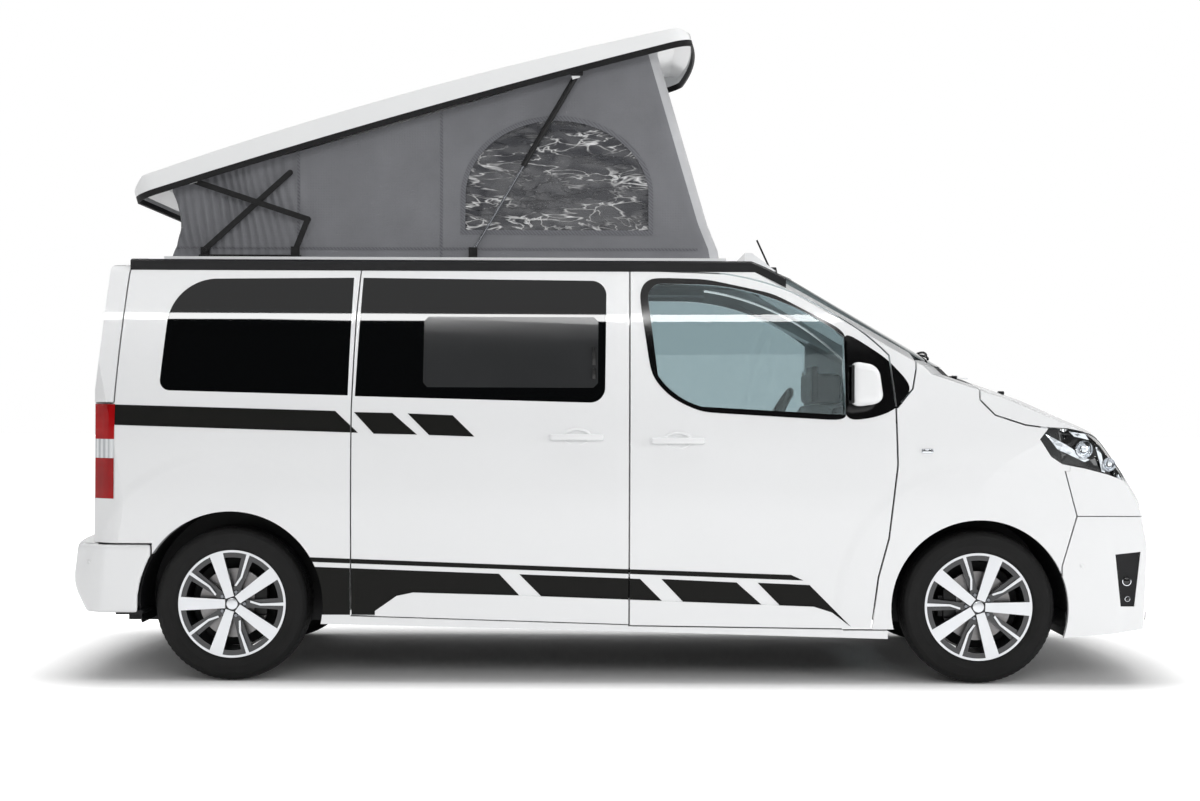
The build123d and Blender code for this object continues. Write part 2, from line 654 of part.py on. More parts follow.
# Floor, bulkhead and wheel arch liners
with BuildPart() as floor_pan:
    add(slab((-2290, -900, 400), (1180, 900, 440)))
    for side in (-1, 1):
        add(slab((REAR_AXLE_X - 450, side * 735 - 150, 200), (REAR_AXLE_X + 450, side * 735 + 150, 500)),
            mode=Mode.SUBTRACT)
    add(slab((BULKHEAD_X, -BULKHEAD_HALF, 400), (BULKHEAD_X + BULKHEAD_T, BULKHEAD_HALF, 1150)))
    add(slab((1180, -470, 560), (BEAM_X, -420, 640)))
    add(slab((1180, 420, 560), (BEAM_X, 470, 640)))
    add(slab((BEAM_X - 50, -620, 640), (BEAM_X, 620, 800)))
    add(slab((BEAM_X - 50, -470, 560), (BEAM_X, 470, 640)))
    add(slab((1970, -470, 640), (2000, -420, 740)))
    add(slab((1970, 420, 640), (2000, 470, 740)))
    add(slab((-2290, -500, 440), (-2250, 500, 500)))
    add(body_floor, mode=Mode.INTERSECT)
    for side in (-1, 1):
        for z in DOOR_HINGE_Z:
            low, high = z - HINGE_ARM_T / 2, z + HINGE_ARM_T / 2
            outer, bend, foot = side * DOOR_HINGE_Y, side * (BULKHEAD_HALF + 40), side * (BULKHEAD_HALF + 2)
            ahead = DOOR_HINGE_X + HINGE_ARM_W / 2
            behind = DOOR_HINGE_X - HINGE_ARM_W / 2
            add(slab((behind, min(outer, foot), low), (ahead, max(outer, foot), high)))
            add(slab((behind, min(bend, foot), low), (BULKHEAD_X + BULKHEAD_T, max(bend, foot), high)))
            root = side * (BULKHEAD_HALF - 10)
            add(slab((BULKHEAD_X + 5, min(bend, root), low), (BULKHEAD_X + BULKHEAD_T - 5, max(bend, root), high)))
            with Locations((DOOR_HINGE_X, side * DOOR_HINGE_Y, z)):
                Cylinder(HINGE_PIN_R, HINGE_PIN_L)
keep("floor_pan", floor_pan.part)
with BuildPart() as liner_zone:
    add(body_liner)
    add(slab((-REACH, -SIDE_Y, 0), (0, SIDE_Y, TOP_Z)), mode=Mode.SUBTRACT)
    add(body_wall_seat)
with BuildPart() as wheel_liners:
    for x, z, radius, inner, wall_low in (
        (FRONT_AXLE_X, FRONT_ARCH_Z, FRONT_ARCH_R, 480.0, 220.0),
        (REAR_AXLE_X, REAR_ARCH_Z, REAR_ARCH_R, 600.0, 70.0),
    ):
        with BuildSketch(Plane.XZ.offset(inner)):
            with Locations((x, z)):
                Circle(radius + 6)
                Circle(radius + 1, mode=Mode.SUBTRACT)
            with Locations((x, z - radius)):
                Rectangle(2 * radius + 40, 2 * radius - 180, mode=Mode.SUBTRACT)
        extrude(amount=SIDE_Y - inner)
        with BuildSketch(Plane.XZ.offset(inner)):
            with Locations((x, z)):
                Circle(radius + 6)
            with Locations((x, z - radius)):
                Rectangle(2 * radius + 40, 2 * radius + 2 * wall_low, mode=Mode.SUBTRACT)
        extrude(amount=LINER_T)
    add(liner_zone.part, mode=Mode.INTERSECT)
    mirror(about=Plane.XZ)
keep("wheel_liners", wheel_liners.part)

# Running gear under the floor
with BuildPart() as front_subframe:
    add(slab((1330, -400, 235), (1400, 400, 285)))
    add(slab((1740, -400, 235), (1810, 400, 285)))
    add(slab((1330, -400, 235), (1810, -340, 285)))
    add(slab((1330, 340, 235), (1810, 400, 285)))
    for side in (-1, 1):
        add(slab((FRONT_AXLE_X - 30, min(side * 400, side * 803), 245),
                 (FRONT_AXLE_X + 30, max(side * 400, side * 803), 270)))
        with Locations((FRONT_AXLE_X, side * (FRONT_TRACK / 2 - KINGPIN_IN), 257)):
            Cylinder(HINGE_PIN_R + 4 + PIN_CLEAR, 40, mode=Mode.SUBTRACT)
        add(slab((1340, side * 445 - 25, 235), (1390, side * 445 + 25, 560)))
        add(slab((1750, side * 445 - 25, 235), (1800, side * 445 + 25, 560)))
    add(slab((1340, -420, 235), (1800, -395, 285)))
    add(slab((1340, 395, 235), (1800, 420, 285)))
keep("front_subframe", front_subframe.part)
with BuildPart() as rear_axle:
    with Locations(Plane.XZ * Location((REAR_AXLE_X, TYRE_R, 0))):
        Cylinder(45, 2 * 560)
        Cylinder(STUB_R, REAR_TRACK + 2 * STUB_OUT)
    for side in (-1, 1):
        add(slab((REAR_AXLE_X - 60, side * 560 - 30, TYRE_R - 60), (REAR_AXLE_X + 500, side * 560 + 30, TYRE_R - 20)))
        add(slab((REAR_AXLE_X + 440, side * 560 - 30, 270), (REAR_AXLE_X + 500, side * 560 + 30, 400 - SEAT)))
        add(slab((REAR_AXLE_X - 60, side * 560 - 30, TYRE_R - 60), (REAR_AXLE_X + 60, side * 560 + 30, TYRE_R + 60)))
keep("rear_axle", rear_axle.part)
with BuildPart() as engine_block:
    add(slab((1380, -330, 285 + SEAT), (1900, 330, 880)))
keep("engine_block", engine_block.part)
with BuildPart() as exhaust:
    with Locations(Plane.YZ * Location((-150, 300, 0))):
        Cylinder(28, 1800)
    with Locations(Plane.YZ * Location((-150, 305, -1000))):
        Cylinder(70, 500)
    for x in (-1000, 700):
        add(slab((x - 12, -160, 300), (x + 12, -140, 400 - SEAT)))
keep("exhaust", exhaust.part)
with BuildPart() as fuel_tank:
    add(slab((-500, 150, 225), (500, 720, 400 - SEAT)))
    fillet(fuel_tank.edges().filter_by(Axis.Z), 40)
keep("fuel_tank", fuel_tank.part)

# Cabin
with BuildPart() as dashboard:
    with BuildSketch(Plane.XZ):
        with BuildLine():
            Polyline(
                (1130, 700), (1138, 1120), (1330, 1150), (1330, 1230), (1180, 1235), (980, 1210), (930, 1130),
                (960, 950), (1010, 720), close=True,
            )
        make_face()
    extrude(amount=760, both=True)
    add(body_pillar_in, mode=Mode.INTERSECT)
    add(slab((1140 - SEAT, -SIDE_Y, 300), (1180 + SEAT, SIDE_Y, 1150 + SEAT)), mode=Mode.SUBTRACT)
keep("dashboard", dashboard.part)
wheel_tilt = Plane(origin=(800, 400, 1130), z_dir=(-0.87, 0, 0.5))
with BuildPart() as steering_wheel:
    with BuildSketch(Plane(origin=wheel_tilt.origin, x_dir=wheel_tilt.z_dir, z_dir=wheel_tilt.x_dir)):
        with Locations((0, 185)):
            Circle(15)
    revolve(axis=Axis(wheel_tilt.origin, wheel_tilt.z_dir))
    with BuildSketch(wheel_tilt):
        Circle(60)
        Rectangle(350, 34)
    extrude(amount=-24)
    with BuildSketch(wheel_tilt):
        Circle(24)
    extrude(amount=-160)
    add(dashboard.part, mode=Mode.SUBTRACT)
keep("steering_wheel", steering_wheel.part.solids().sort_by(SortBy.VOLUME)[-1])
with BuildPart() as front_seats:
    with BuildSketch(Plane.XZ.offset(200)):
        with BuildLine():
            Polyline(
                (640, 560), (650, 680), (250, 640), (120, 1230), (20, 1215), (90, 560), (150, 540), (150, 440 + SEAT),
                (560, 440 + SEAT), (560, 540), close=True,
            )
        make_face()
    extrude(amount=480)
    mirror(about=Plane.XZ)
keep("front_seats", front_seats.part)
with BuildPart() as rear_bench:
    with BuildSketch(Plane.XZ):
        with BuildLine():
            Polyline((-620, 440 + SEAT), (-620, 680), (-1120, 650), (-1240, 1200), (-1350, 1180), (-1240, 440 + SEAT),
                     close=True)
        make_face()
    extrude(amount=560, both=True)
keep("rear_bench", rear_bench.part)


# Wheels: tyre, rim with brake disc behind, set on the stubs
def placed(part, x, side, track):
    """Right-hand wheel piece moved to its hub, mirrored for the left."""
    spot = Location((x, -track / 2, TYRE_R)) * part
    return spot if side < 0 else spot.mirror(Plane.XZ)


with BuildPart() as tyre:
    with BuildSketch(Plane.YZ):
        with BuildLine():
            tread = ThreePointArc((-88, TYRE_R - 5), (0, TYRE_R), (88, TYRE_R - 5))
            left = ThreePointArc(tread @ 1, (TYRE_W / 2, 284), (90, RIM_R + 2))
            bead = Polyline(left @ 1, (90, BEAD_R + 1), (-90, BEAD_R + 1), (-90, RIM_R + 2))
            ThreePointArc(bead @ 1, (-TYRE_W / 2, 284), tread @ 0)
        make_face()
    revolve(axis=Axis.Y)


def rim(spin):
    """Alloy rim with five broad and five thin spokes, outside toward -Y."""
    with BuildPart() as wheel:
        with BuildSketch(Plane.YZ):
            with BuildLine():
                Polyline(
                    (-RIM_FACE + 4, BARREL_R), (-RIM_FACE + 4, LIP_R), (-RIM_FACE, LIP_R), (-RIM_FACE, RIM_R),
                    (-BEAD_Y, RIM_R), (-BEAD_Y, BEAD_R), (BEAD_Y, BEAD_R), (BEAD_Y, RIM_R), (RIM_FACE, RIM_R),
                    (RIM_FACE, BARREL_R), close=True,
                )
            make_face()
        revolve(axis=Axis.Y)
        with BuildSketch(Plane.XZ.offset(46)):
            Circle(HUB_R)
        extrude(amount=38)
        with BuildSketch(Plane.XZ.offset(62)):
            with PolarLocations(0, SPOKES, start_angle=spin + 180 / SPOKES):
                Polygon((60, -14), (60, 14), (BARREL_R + 6, 26), (BARREL_R + 6, -26), align=None)
        extrude(amount=24)
        for foot, reach in ((66, BARREL_R + 6), (RIM_FACE - 5, LIP_R + 2)):
            broad = 19 + (reach - 30) / 18
            thin = 2 + (reach - 126) / 20
            with BuildSketch(Plane.XZ.offset(foot)):
                with PolarLocations(0, SPOKES, start_angle=spin):
                    Polygon((30, -19), (30, 19), (reach, broad), (reach, -broad), align=None)
                with PolarLocations(0, SPOKES, start_angle=spin + 180 / SPOKES):
                    Polygon((80, 6), (80, 15), (126, 2), (reach, thin), (reach, -7), (124, -7), align=None)
            extrude(amount=RIM_FACE - foot - .4)
    return wheel.part


with BuildPart() as disc:
    with BuildSketch(Plane.XZ.offset(14)):
        Circle(DISC_R)
    extrude(amount=DISC_T)
    with BuildSketch(Plane.XZ.offset(14)):
        Circle(HUB_R)
    extrude(amount=31.7)
    with BuildSketch(Plane.XZ):
        Circle(STUB_R + PIN_CLEAR)
    extrude(amount=80, mode=Mode.SUBTRACT)
for name, x, side, track, spin in (
    ("front_left", FRONT_AXLE_X, 1, FRONT_TRACK, FRONT_SPIN),
    ("front_right", FRONT_AXLE_X, -1, FRONT_TRACK, FRONT_SPIN),
    ("rear_left", REAR_AXLE_X, 1, REAR_TRACK, REAR_SPIN),
    ("rear_right", REAR_AXLE_X, -1, REAR_TRACK, REAR_SPIN),
):
    with BuildPart() as tyre_set:
        add(placed(tyre.part, x, side, track))
    keep("tyre_" + name, tyre_set.part)
    with BuildPart() as rim_set:
        add(placed(rim(spin), x, side, track))
    keep("rim_" + name, rim_set.part)
    with BuildPart() as disc_set:
        add(placed(disc.part, x, side, track))
    keep("brake_disc_" + name, disc_set.part)

with BuildPart() as knuckle:
    with BuildSketch(Plane.XZ.offset(-40)):
        with Locations((0, 15)):
            Rectangle(90, 130)
    extrude(amount=40)
    with BuildSketch(Plane.XZ.offset(-40)):
        Circle(STUB_R)
    extrude(amount=40 + STUB_OUT)
    with Locations((0, KINGPIN_IN, -TYRE_R + 262)):
        Cylinder(HINGE_PIN_R + 4, 60)
    add(slab((-170, -48, -45), (-100, 30, 45)))
    add(slab((-156, -43, -60), (-90, -11, 60)), mode=Mode.SUBTRACT)
    add(slab((-100, 4, -30), (0, 30, 30)))
for name, side in (("left", 1), ("right", -1)):
    with BuildPart() as knuckle_set:
        add(placed(knuckle.part, FRONT_AXLE_X, side, FRONT_TRACK))
    keep("knuckle_" + name, knuckle_set.part)


# Pop-up roof, drawn closed and swung up about its lift centre
def raised(part):
    """Piece of the pop-up roof turned from closed to raised."""
    return part.rotate(Axis((LIFT_X, 0, LIFT_Z), (0, 1, 0)), -LIFT_DEG)


def roof_form(inset, low):
    """Closed roof form, moved in by the inset, from a height below the rim."""
    middle = (SHELL_REAR + SHELL_FRONT) / 2
    with BuildPart() as form:
        with BuildSketch(Plane.XZ):
            with BuildLine():
                rim_arc = ThreePointArc(
                    (SHELL_REAR - 20 + inset, SHELL_Z - low), (middle, SHELL_Z + SHELL_RISE - low),
                    (SHELL_FRONT + 40 - inset, SHELL_Z - low),
                )
                nose = Polyline(rim_arc @ 1, (SHELL_FRONT + 40 - inset, SHELL_Z + 40),
                                (SHELL_FRONT - 40, SHELL_Z + 88 - inset))
                top = ThreePointArc(
                    nose @ 1, (middle, SHELL_Z + SHELL_RISE + SHELL_H - inset),
                    (SHELL_REAR + 70, SHELL_Z + 102 - inset),
                )
                Polyline(top @ 1, (SHELL_REAR - 20 + inset, SHELL_Z + 36), rim_arc @ 0)
            make_face()
        extrude(amount=SIDE_Y, both=True)
        with BuildSketch(Plane.XY.offset(SHELL_Z - 30)) as outline:
            with BuildLine():
                edge = Polyline((SHELL_FRONT, -SHELL_HALF), (SHELL_REAR, -SHELL_HALF), (SHELL_REAR, SHELL_HALF),
                                (SHELL_FRONT, SHELL_HALF))
                ThreePointArc(edge @ 1, (SHELL_FRONT + 39, 0), edge @ 0)
            make_face()
            fillet(outline.vertices(), 110)
            if inset:
                offset(amount=-inset)
        extrude(amount=SHELL_H + 100, mode=Mode.INTERSECT)
    return form.part


with BuildPart() as roof_all:
    add(roof_form(0, 0))
    add(roof_form(SHELL_T, 1), mode=Mode.SUBTRACT)
with BuildPart() as rim_band:
    with BuildSketch(Plane.XZ):
        with BuildLine():
            lower_arc = ThreePointArc(
                (SHELL_REAR - 100, SHELL_Z), ((SHELL_REAR + SHELL_FRONT) / 2, SHELL_Z + SHELL_RISE + 2),
                (SHELL_FRONT + 140, SHELL_Z),
            )
            Polyline(lower_arc @ 1, (SHELL_FRONT + 140, SHELL_Z - 60), (SHELL_REAR - 100, SHELL_Z - 60), lower_arc @ 0)
        make_face()
    extrude(amount=SIDE_Y, both=True)
seal_top = Location((0, 0, SEAL_H)) * rim_band.part
with BuildPart() as roof_seal:
    add(roof_all.part)
    add(seal_top, mode=Mode.INTERSECT)
keep("roof_seal", raised(roof_seal.part))
with BuildPart() as shell_closed:
    add(roof_all.part)
    add(Location((0, 0, SEAL_H + SEAT)) * rim_band.part, mode=Mode.SUBTRACT)
with BuildPart() as hangers:
    for spot, out in ((ROOF_ARM_FOOT, 654.0), (STRUT_TOP, STRUT_Y + STRUT_TUBE_R + SEAT)):
        with BuildSketch(Plane.XZ.offset(out)):
            with Locations((spot[0] - 18, spot[1] + 60)):
                Rectangle(36, 150, rotation=LIFT_DEG)
        extrude(amount=6)
    add(raised(roof_form(SHELL_T / 2, 60)), mode=Mode.INTERSECT)
    mirror(about=Plane.XZ)
with BuildPart() as roof_shell:
    add(raised(shell_closed.part))
    add(hangers.part)
    with BuildSketch(Plane.XZ.offset(643)):
        with Locations(ROOF_ARM_FOOT):
            Circle(PIVOT_R - PIN_CLEAR)
    pins = extrude(amount=14)
    mirror(pins, about=Plane.XZ)
keep("roof_shell", roof_shell.part)
with BuildPart() as tent:
    with BuildSketch(Plane.XZ):
        with BuildLine():
            Polyline(
                (TENT_REAR, FRAME_Z + SEAT), (-1968, 2010), (-2000, 2140), (-2013, 2180), (195, 2816), (425, 2041),
                (472, 1925), (TENT_FRONT, FRAME_Z + SEAT), close=True,
            )
        make_face()
    extrude(amount=TENT_HALF, both=True)
    with BuildSketch(Plane.XZ):
        with BuildLine():
            Polyline(
                (TENT_REAR + TENT_T, FRAME_Z - 60), (-1968 + TENT_T, 2010), (-2000 + TENT_T, 2140),
                (-2013 + TENT_T, 2300), (195 - TENT_T, 2900), (425 - TENT_T, 2041), (472 - TENT_T, 1925),
                (TENT_FRONT - TENT_T, FRAME_Z - 60), close=True,
            )
        make_face()
    extrude(amount=TENT_HALF - TENT_T, both=True, mode=Mode.SUBTRACT)
keep("tent", tent.part)


def bar(foot, tip, layer, width, thick, hole):
    """Flat bar between two pivots on the right side, with an eye at its foot."""
    span = Vector(*tip) - Vector(*foot)
    middle = (Vector(*tip) + Vector(*foot)) / 2
    with BuildPart() as flat:
        with BuildSketch(Plane.XZ.offset(layer)):
            with Locations((middle.X, middle.Y)):
                SlotCenterToCenter(span.length, width, rotation=degrees(atan2(span.Y, span.X)))
            with Locations(foot):
                Circle(hole, mode=Mode.SUBTRACT)
        extrude(amount=thick)
        mirror(about=Plane.XZ)
    return flat.part


keep("scissor_base_arms", bar(BASE_ARM_FOOT, BASE_ARM_TIP, 632.0, ARM_W, ARM_T, PIVOT_R))
keep("scissor_roof_arms", bar(ROOF_ARM_FOOT, ROOF_ARM_TIP, 643.0, ARM_W, ARM_T, PIVOT_R))
keep("scissor_links", bar(LINK_FOOT, ROOF_ARM_TIP, 654.0, ARM_W, ARM_T, PIVOT_R))


# Gas struts: rods hinged on the roof frame, tubes sliding on them
strut_run = Vector(*STRUT_TOP) - Vector(*STRUT_FOOT)
strut_dir = Vector(strut_run.X, 0, strut_run.Y).normalized()
strut_plane = Plane(origin=(STRUT_FOOT[0], -STRUT_Y, STRUT_FOOT[1]), z_dir=strut_dir)
with BuildPart() as strut_rods:
    with BuildSketch(strut_plane):
        Circle(STRUT_ROD_R)
    extrude(amount=STRUT_ROD_L)
    with BuildSketch(Plane.XZ.offset(STRUT_Y - 6)):
        with Locations(STRUT_FOOT):
            Circle(PIVOT_R + 4)
    extrude(amount=12)
    with BuildSketch(Plane.XZ.offset(STRUT_Y - 20)):
        with Locations(STRUT_FOOT):
            Circle(EYE_R + PIN_CLEAR)
    extrude(amount=60, mode=Mode.SUBTRACT)
    mirror(about=Plane.XZ)
keep("strut_rods", strut_rods.part)
with BuildPart() as strut_tubes:
    with BuildSketch(strut_plane.offset(strut_run.length - STRUT_TUBE_L)):
        Circle(STRUT_TUBE_R)
        Circle(STRUT_ROD_R + PIN_CLEAR, mode=Mode.SUBTRACT)
    extrude(amount=STRUT_TUBE_L - 26)
    with BuildSketch(strut_plane.offset(strut_run.length - 26)):
        Circle(STRUT_TUBE_R)
    extrude(amount=20)
    mirror(about=Plane.XZ)
keep("strut_tubes", strut_tubes.part)
with BuildPart() as lift_brackets:
    for spot, out, thick, pin_low, pin_high in (
        (BASE_ARM_FOOT, 621.0, 8.0, 625.0, 639.0),
        (LINK_FOOT, 664.0, 8.0, 654.0, 668.0),
        (STRUT_FOOT, 662.0, 8.0, STRUT_Y - 6, 666.0),
    ):
        with BuildSketch(Plane.XZ.offset(out)):
            with Locations((spot[0], (FRAME_Z + SEAT + spot[1] + 13) / 2)):
                Rectangle(40, spot[1] + 13 - FRAME_Z - SEAT)
        extrude(amount=thick)
        with BuildSketch(Plane.XZ.offset(pin_low)):
            with Locations(spot):
                Circle(EYE_R if spot == STRUT_FOOT else PIVOT_R - PIN_CLEAR)
        extrude(amount=pin_high - pin_low)
    mirror(about=Plane.XZ)
keep("lift_brackets", lift_brackets.part)
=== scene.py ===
import math

import bmesh
import bpy
from bpy.props import FloatProperty, FloatVectorProperty, PointerProperty
from mathutils import Matrix, Vector, noise


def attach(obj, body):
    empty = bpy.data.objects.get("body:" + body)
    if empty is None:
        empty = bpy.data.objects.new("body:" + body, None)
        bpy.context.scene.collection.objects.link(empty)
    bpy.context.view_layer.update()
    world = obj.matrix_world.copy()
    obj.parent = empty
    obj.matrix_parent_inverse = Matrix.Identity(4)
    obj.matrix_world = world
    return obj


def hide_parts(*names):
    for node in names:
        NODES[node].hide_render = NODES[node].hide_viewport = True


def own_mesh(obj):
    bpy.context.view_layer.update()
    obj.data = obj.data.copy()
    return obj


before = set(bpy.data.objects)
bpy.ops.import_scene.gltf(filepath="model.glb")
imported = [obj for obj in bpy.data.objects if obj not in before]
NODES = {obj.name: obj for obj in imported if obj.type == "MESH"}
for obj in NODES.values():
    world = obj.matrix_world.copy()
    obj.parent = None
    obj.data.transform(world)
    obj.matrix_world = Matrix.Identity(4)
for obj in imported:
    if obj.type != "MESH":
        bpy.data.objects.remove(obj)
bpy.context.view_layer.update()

bl_info = {
    "name": "Camper van with a pop-up roof",
    "version": (1, 0, 0),
    "blender": (4, 5, 0),
    "location": "3D View > Sidebar > Van",
    "description": "Dresses the packed van: paint, stripes, canvas, wheels, lamps and a studio",
    "category": "Object",
}

SIDES = (("right", -1), ("left", 1))
AXLES = (("front", 1.5985, 0.815), ("rear", -1.6765, 0.809))
AXLE_Z = 0.338
ABOVE = 2.4  # height from which rays look down on the bonnet and windscreen
OUTSIDE = 3.0  # distance from the middle at which rays look at the sides and the front
BEHIND = -4.0  # where rays look at the tailgate from
WAVE = 100.0 * math.pi  # scale at which the straight waves of a wave texture are one millimetre long
DONE = {}


def srgb(text, alpha=1.0):
    """Linear colour of an sRGB hex value."""
    shares = [int(text[i:i + 2], 16) / 255.0 for i in (0, 2, 4)]
    return tuple(s / 12.92 if s <= 0.04045 else ((s + 0.055) / 1.055) ** 2.4 for s in shares) + (alpha,)


def colour_of(name, about, text):
    """Colour property that starts at an sRGB hex value."""
    return FloatVectorProperty(name=name, description=about, subtype="COLOR", size=4, min=0, max=1, default=srgb(text))


class VanColours(bpy.types.PropertyGroup):
    """Colours of the van's finishes."""

    paint: colour_of("Paint", "Body paint", "F1F2F3")
    stripe: colour_of("Stripes", "Stuck-on side stripes", "0B0B09")
    canvas: colour_of("Canvas", "Tent cloth", "7D7E82")
    alloy: colour_of("Alloy", "Turned face of the wheels", "D3D5D8")
    pocket: colour_of("Wheel pockets", "Painted part of the wheels", "232427")


class VanSizes(bpy.types.PropertyGroup):
    """Sizes of what is laid on the solids."""

    film: FloatProperty(name="Film", description="How far a stripe stands off the paint", unit="LENGTH",
                        default=0.0012, min=0.0003, max=0.004)
    pleat: FloatProperty(name="Pleat", description="Depth of the folds in the gathered cloth", unit="LENGTH",
                         default=0.017, min=0.0, max=0.02)
    groove: FloatProperty(name="Groove", description="Depth of the tread grooves", unit="LENGTH", default=0.0075,
                          min=0.002, max=0.009)


def put(tree, kind, inputs=None, out=0, **settings):
    """Add a shader node, set it up, feed it with values or sockets, and give the socket that carries its result."""
    made = tree.nodes.new("ShaderNode" + kind)
    for key, value in settings.items():
        setattr(made, key, value)
    for key, value in (inputs or {}).items():
        if isinstance(value, bpy.types.NodeSocket):
            tree.links.new(value, made.inputs[key])
        else:
            made.inputs[key].default_value = value
    return made.outputs[out]


def shade(colour, share):
    """The colour made darker or lighter by a share."""
    return tuple(min(1.0, c * share) for c in colour[:3]) + (1.0,)


def sprayed_paint(tree, spot):
    # Two-coat car paint, sprayed: deep gloss over a faint orange peel, with a soft swage pressed round each wheel arch.
    colour = bpy.context.scene.van_colours.paint
    peel = put(tree, "TexNoise", {"Vector": spot, "Scale": 1000.0 / 9.0})
    cloud = put(tree, "TexNoise", {"Vector": spot, "Scale": 1000.0 / 420.0})
    flat = put(tree, "VectorMath", {0: spot, 1: (1.0, 0.0, 1.0)}, operation="MULTIPLY")
    steps = []
    for (_, x, _), reach in zip(AXLES, (0.628, 0.672)):
        far = put(tree, "VectorMath", {0: flat, 1: (x, 0.0, AXLE_Z)}, "Value", operation="DISTANCE")
        steps.append(put(tree, "MapRange", {"Value": far, "From Min": reach - 0.035, "From Max": reach + 0.02,
                                            "To Min": 1.0, "To Max": 0.0}, interpolation_type="SMOOTHSTEP"))
    swage = put(tree, "Math", {0: steps[0], 1: steps[1]}, operation="MAXIMUM")
    pressed = put(tree, "Bump", {"Height": swage, "Strength": 1.0, "Distance": 0.004})
    return {"Base Color": put(tree, "Mix", {0: cloud, 6: shade(colour, 0.975), 7: tuple(colour)}, 2, data_type="RGBA"),
            "Roughness": 0.34, "IOR": 1.5, "Coat Weight": 0.8, "Coat Roughness": 0.04,
            "Normal": put(tree, "Bump", {"Height": peel, "Strength": 0.05, "Distance": 0.0002, "Normal": pressed})}


def moulded_shell(tree, spot):
    # Glass-fibre roof shell with a gel coat: white, a little softer in its gloss than the paint.
    wave = put(tree, "TexNoise", {"Vector": spot, "Scale": 1000.0 / 60.0})
    cloud = put(tree, "TexNoise", {"Vector": spot, "Scale": 1000.0 / 500.0})
    return {"Base Color": put(tree, "Mix", {0: cloud, 6: srgb("ECEDEE"), 7: srgb("F4F5F5")}, 2, data_type="RGBA"),
            "Roughness": 0.3, "IOR": 1.5, "Coat Weight": 0.5, "Coat Roughness": 0.12,
            "Normal": put(tree, "Bump", {"Height": wave, "Strength": 0.06, "Distance": 0.0004})}


def vinyl_film(tree, spot):
    # Cast vinyl with a satin face, stuck on: near black, showing the peel of the paint below.
    peel = put(tree, "TexNoise", {"Vector": spot, "Scale": 1000.0 / 9.0})
    return {"Base Color": tuple(bpy.context.scene.van_colours.stripe), "Roughness": 0.45, "IOR": 1.48,
            "Specular IOR Level": 0.16,
            "Normal": put(tree, "Bump", {"Height": peel, "Strength": 0.05, "Distance": 0.0002})}


def grained_plastic(tree, spot):
    # Polypropylene, moulded with a fine leather grain: dull black that shows pale on its edges.
    cells = put(tree, "TexVoronoi", {"Vector": spot, "Scale": 1000.0 / 2.4})
    patchy = put(tree, "TexNoise", {"Vector": spot, "Scale": 1000.0 / 90.0})
    return {"Base Color": put(tree, "Mix", {0: patchy, 6: srgb("0F0F10"), 7: srgb("18181A")}, 2, data_type="RGBA"),
            "Roughness": 0.55, "IOR": 1.49, "Specular IOR Level": 0.3,
            "Normal": put(tree, "Bump", {"Height": cells, "Strength": 0.25, "Distance": 0.0003})}


def lamp_red(tree, spot):
    # Acrylic, moulded through red: deep colour with a hint of the ribbed optics behind.
    ribs = put(tree, "TexWave", {"Vector": spot, "Scale": WAVE / 43.4, "Distortion": 0.3}, "Fac",
               bands_direction="Z")
    depth = put(tree, "TexNoise", {"Vector": spot, "Scale": 1000.0 / 130.0})
    return {"Base Color": put(tree, "Mix", {0: depth, 6: srgb("6E0407"), 7: srgb("C80F14")}, 2, data_type="RGBA"),
            "Roughness": 0.14, "IOR": 1.49, "Specular IOR Level": 0.22,
            "Normal": put(tree, "Bump", {"Height": ribs, "Strength": 0.12, "Distance": 0.0008})}


def turned_alloy(tree, spot):
    # Cast aluminium, lacquered dark and then turned on a lathe: bright on the outer face, gloss dark in the pockets.
    colours = bpy.context.scene.van_colours
    x, y = (put(tree, "SeparateXYZ", {"Vector": spot}, k) for k in "XY")
    out = put(tree, "Math", {0: y}, operation="ABSOLUTE")
    end = put(tree, "Math", {0: x}, operation="SIGN")
    edge = put(tree, "Math", {0: end, 1: 0.003, 2: 0.9078}, operation="MULTIPLY_ADD")
    face = put(tree, "Math", {0: out, 1: edge}, operation="GREATER_THAN")
    marks = put(tree, "TexNoise", {"Vector": spot, "Scale": 1000.0 / 3.0})
    return {"Base Color": put(tree, "Mix", {0: face, 6: tuple(colours.pocket), 7: tuple(colours.alloy)}, 2,
                              data_type="RGBA"),
            "Metallic": put(tree, "MapRange", {"Value": face, "To Min": 0.1, "To Max": 0.75}),
            "Roughness": put(tree, "MapRange", {"Value": marks, "To Min": 0.26, "To Max": 0.4}),
            "Coat Weight": 0.5, "Coat Roughness": 0.05}


def tyre_rubber(tree, spot):
    # Carbon-black rubber, moulded: black and dull, with a faint dusty bloom on the side wall.
    bloom = put(tree, "TexNoise", {"Vector": spot, "Scale": 1000.0 / 70.0, "Detail": 5.0})
    fine = put(tree, "TexNoise", {"Vector": spot, "Scale": 1000.0 / 2.5})
    return {"Base Color": put(tree, "Mix", {0: bloom, 6: srgb("090909"), 7: srgb("141414")}, 2, data_type="RGBA"),
            "Roughness": 0.72, "IOR": 1.52, "Specular IOR Level": 0.25,
            "Normal": put(tree, "Bump", {"Height": fine, "Strength": 0.2, "Distance": 0.0003})}


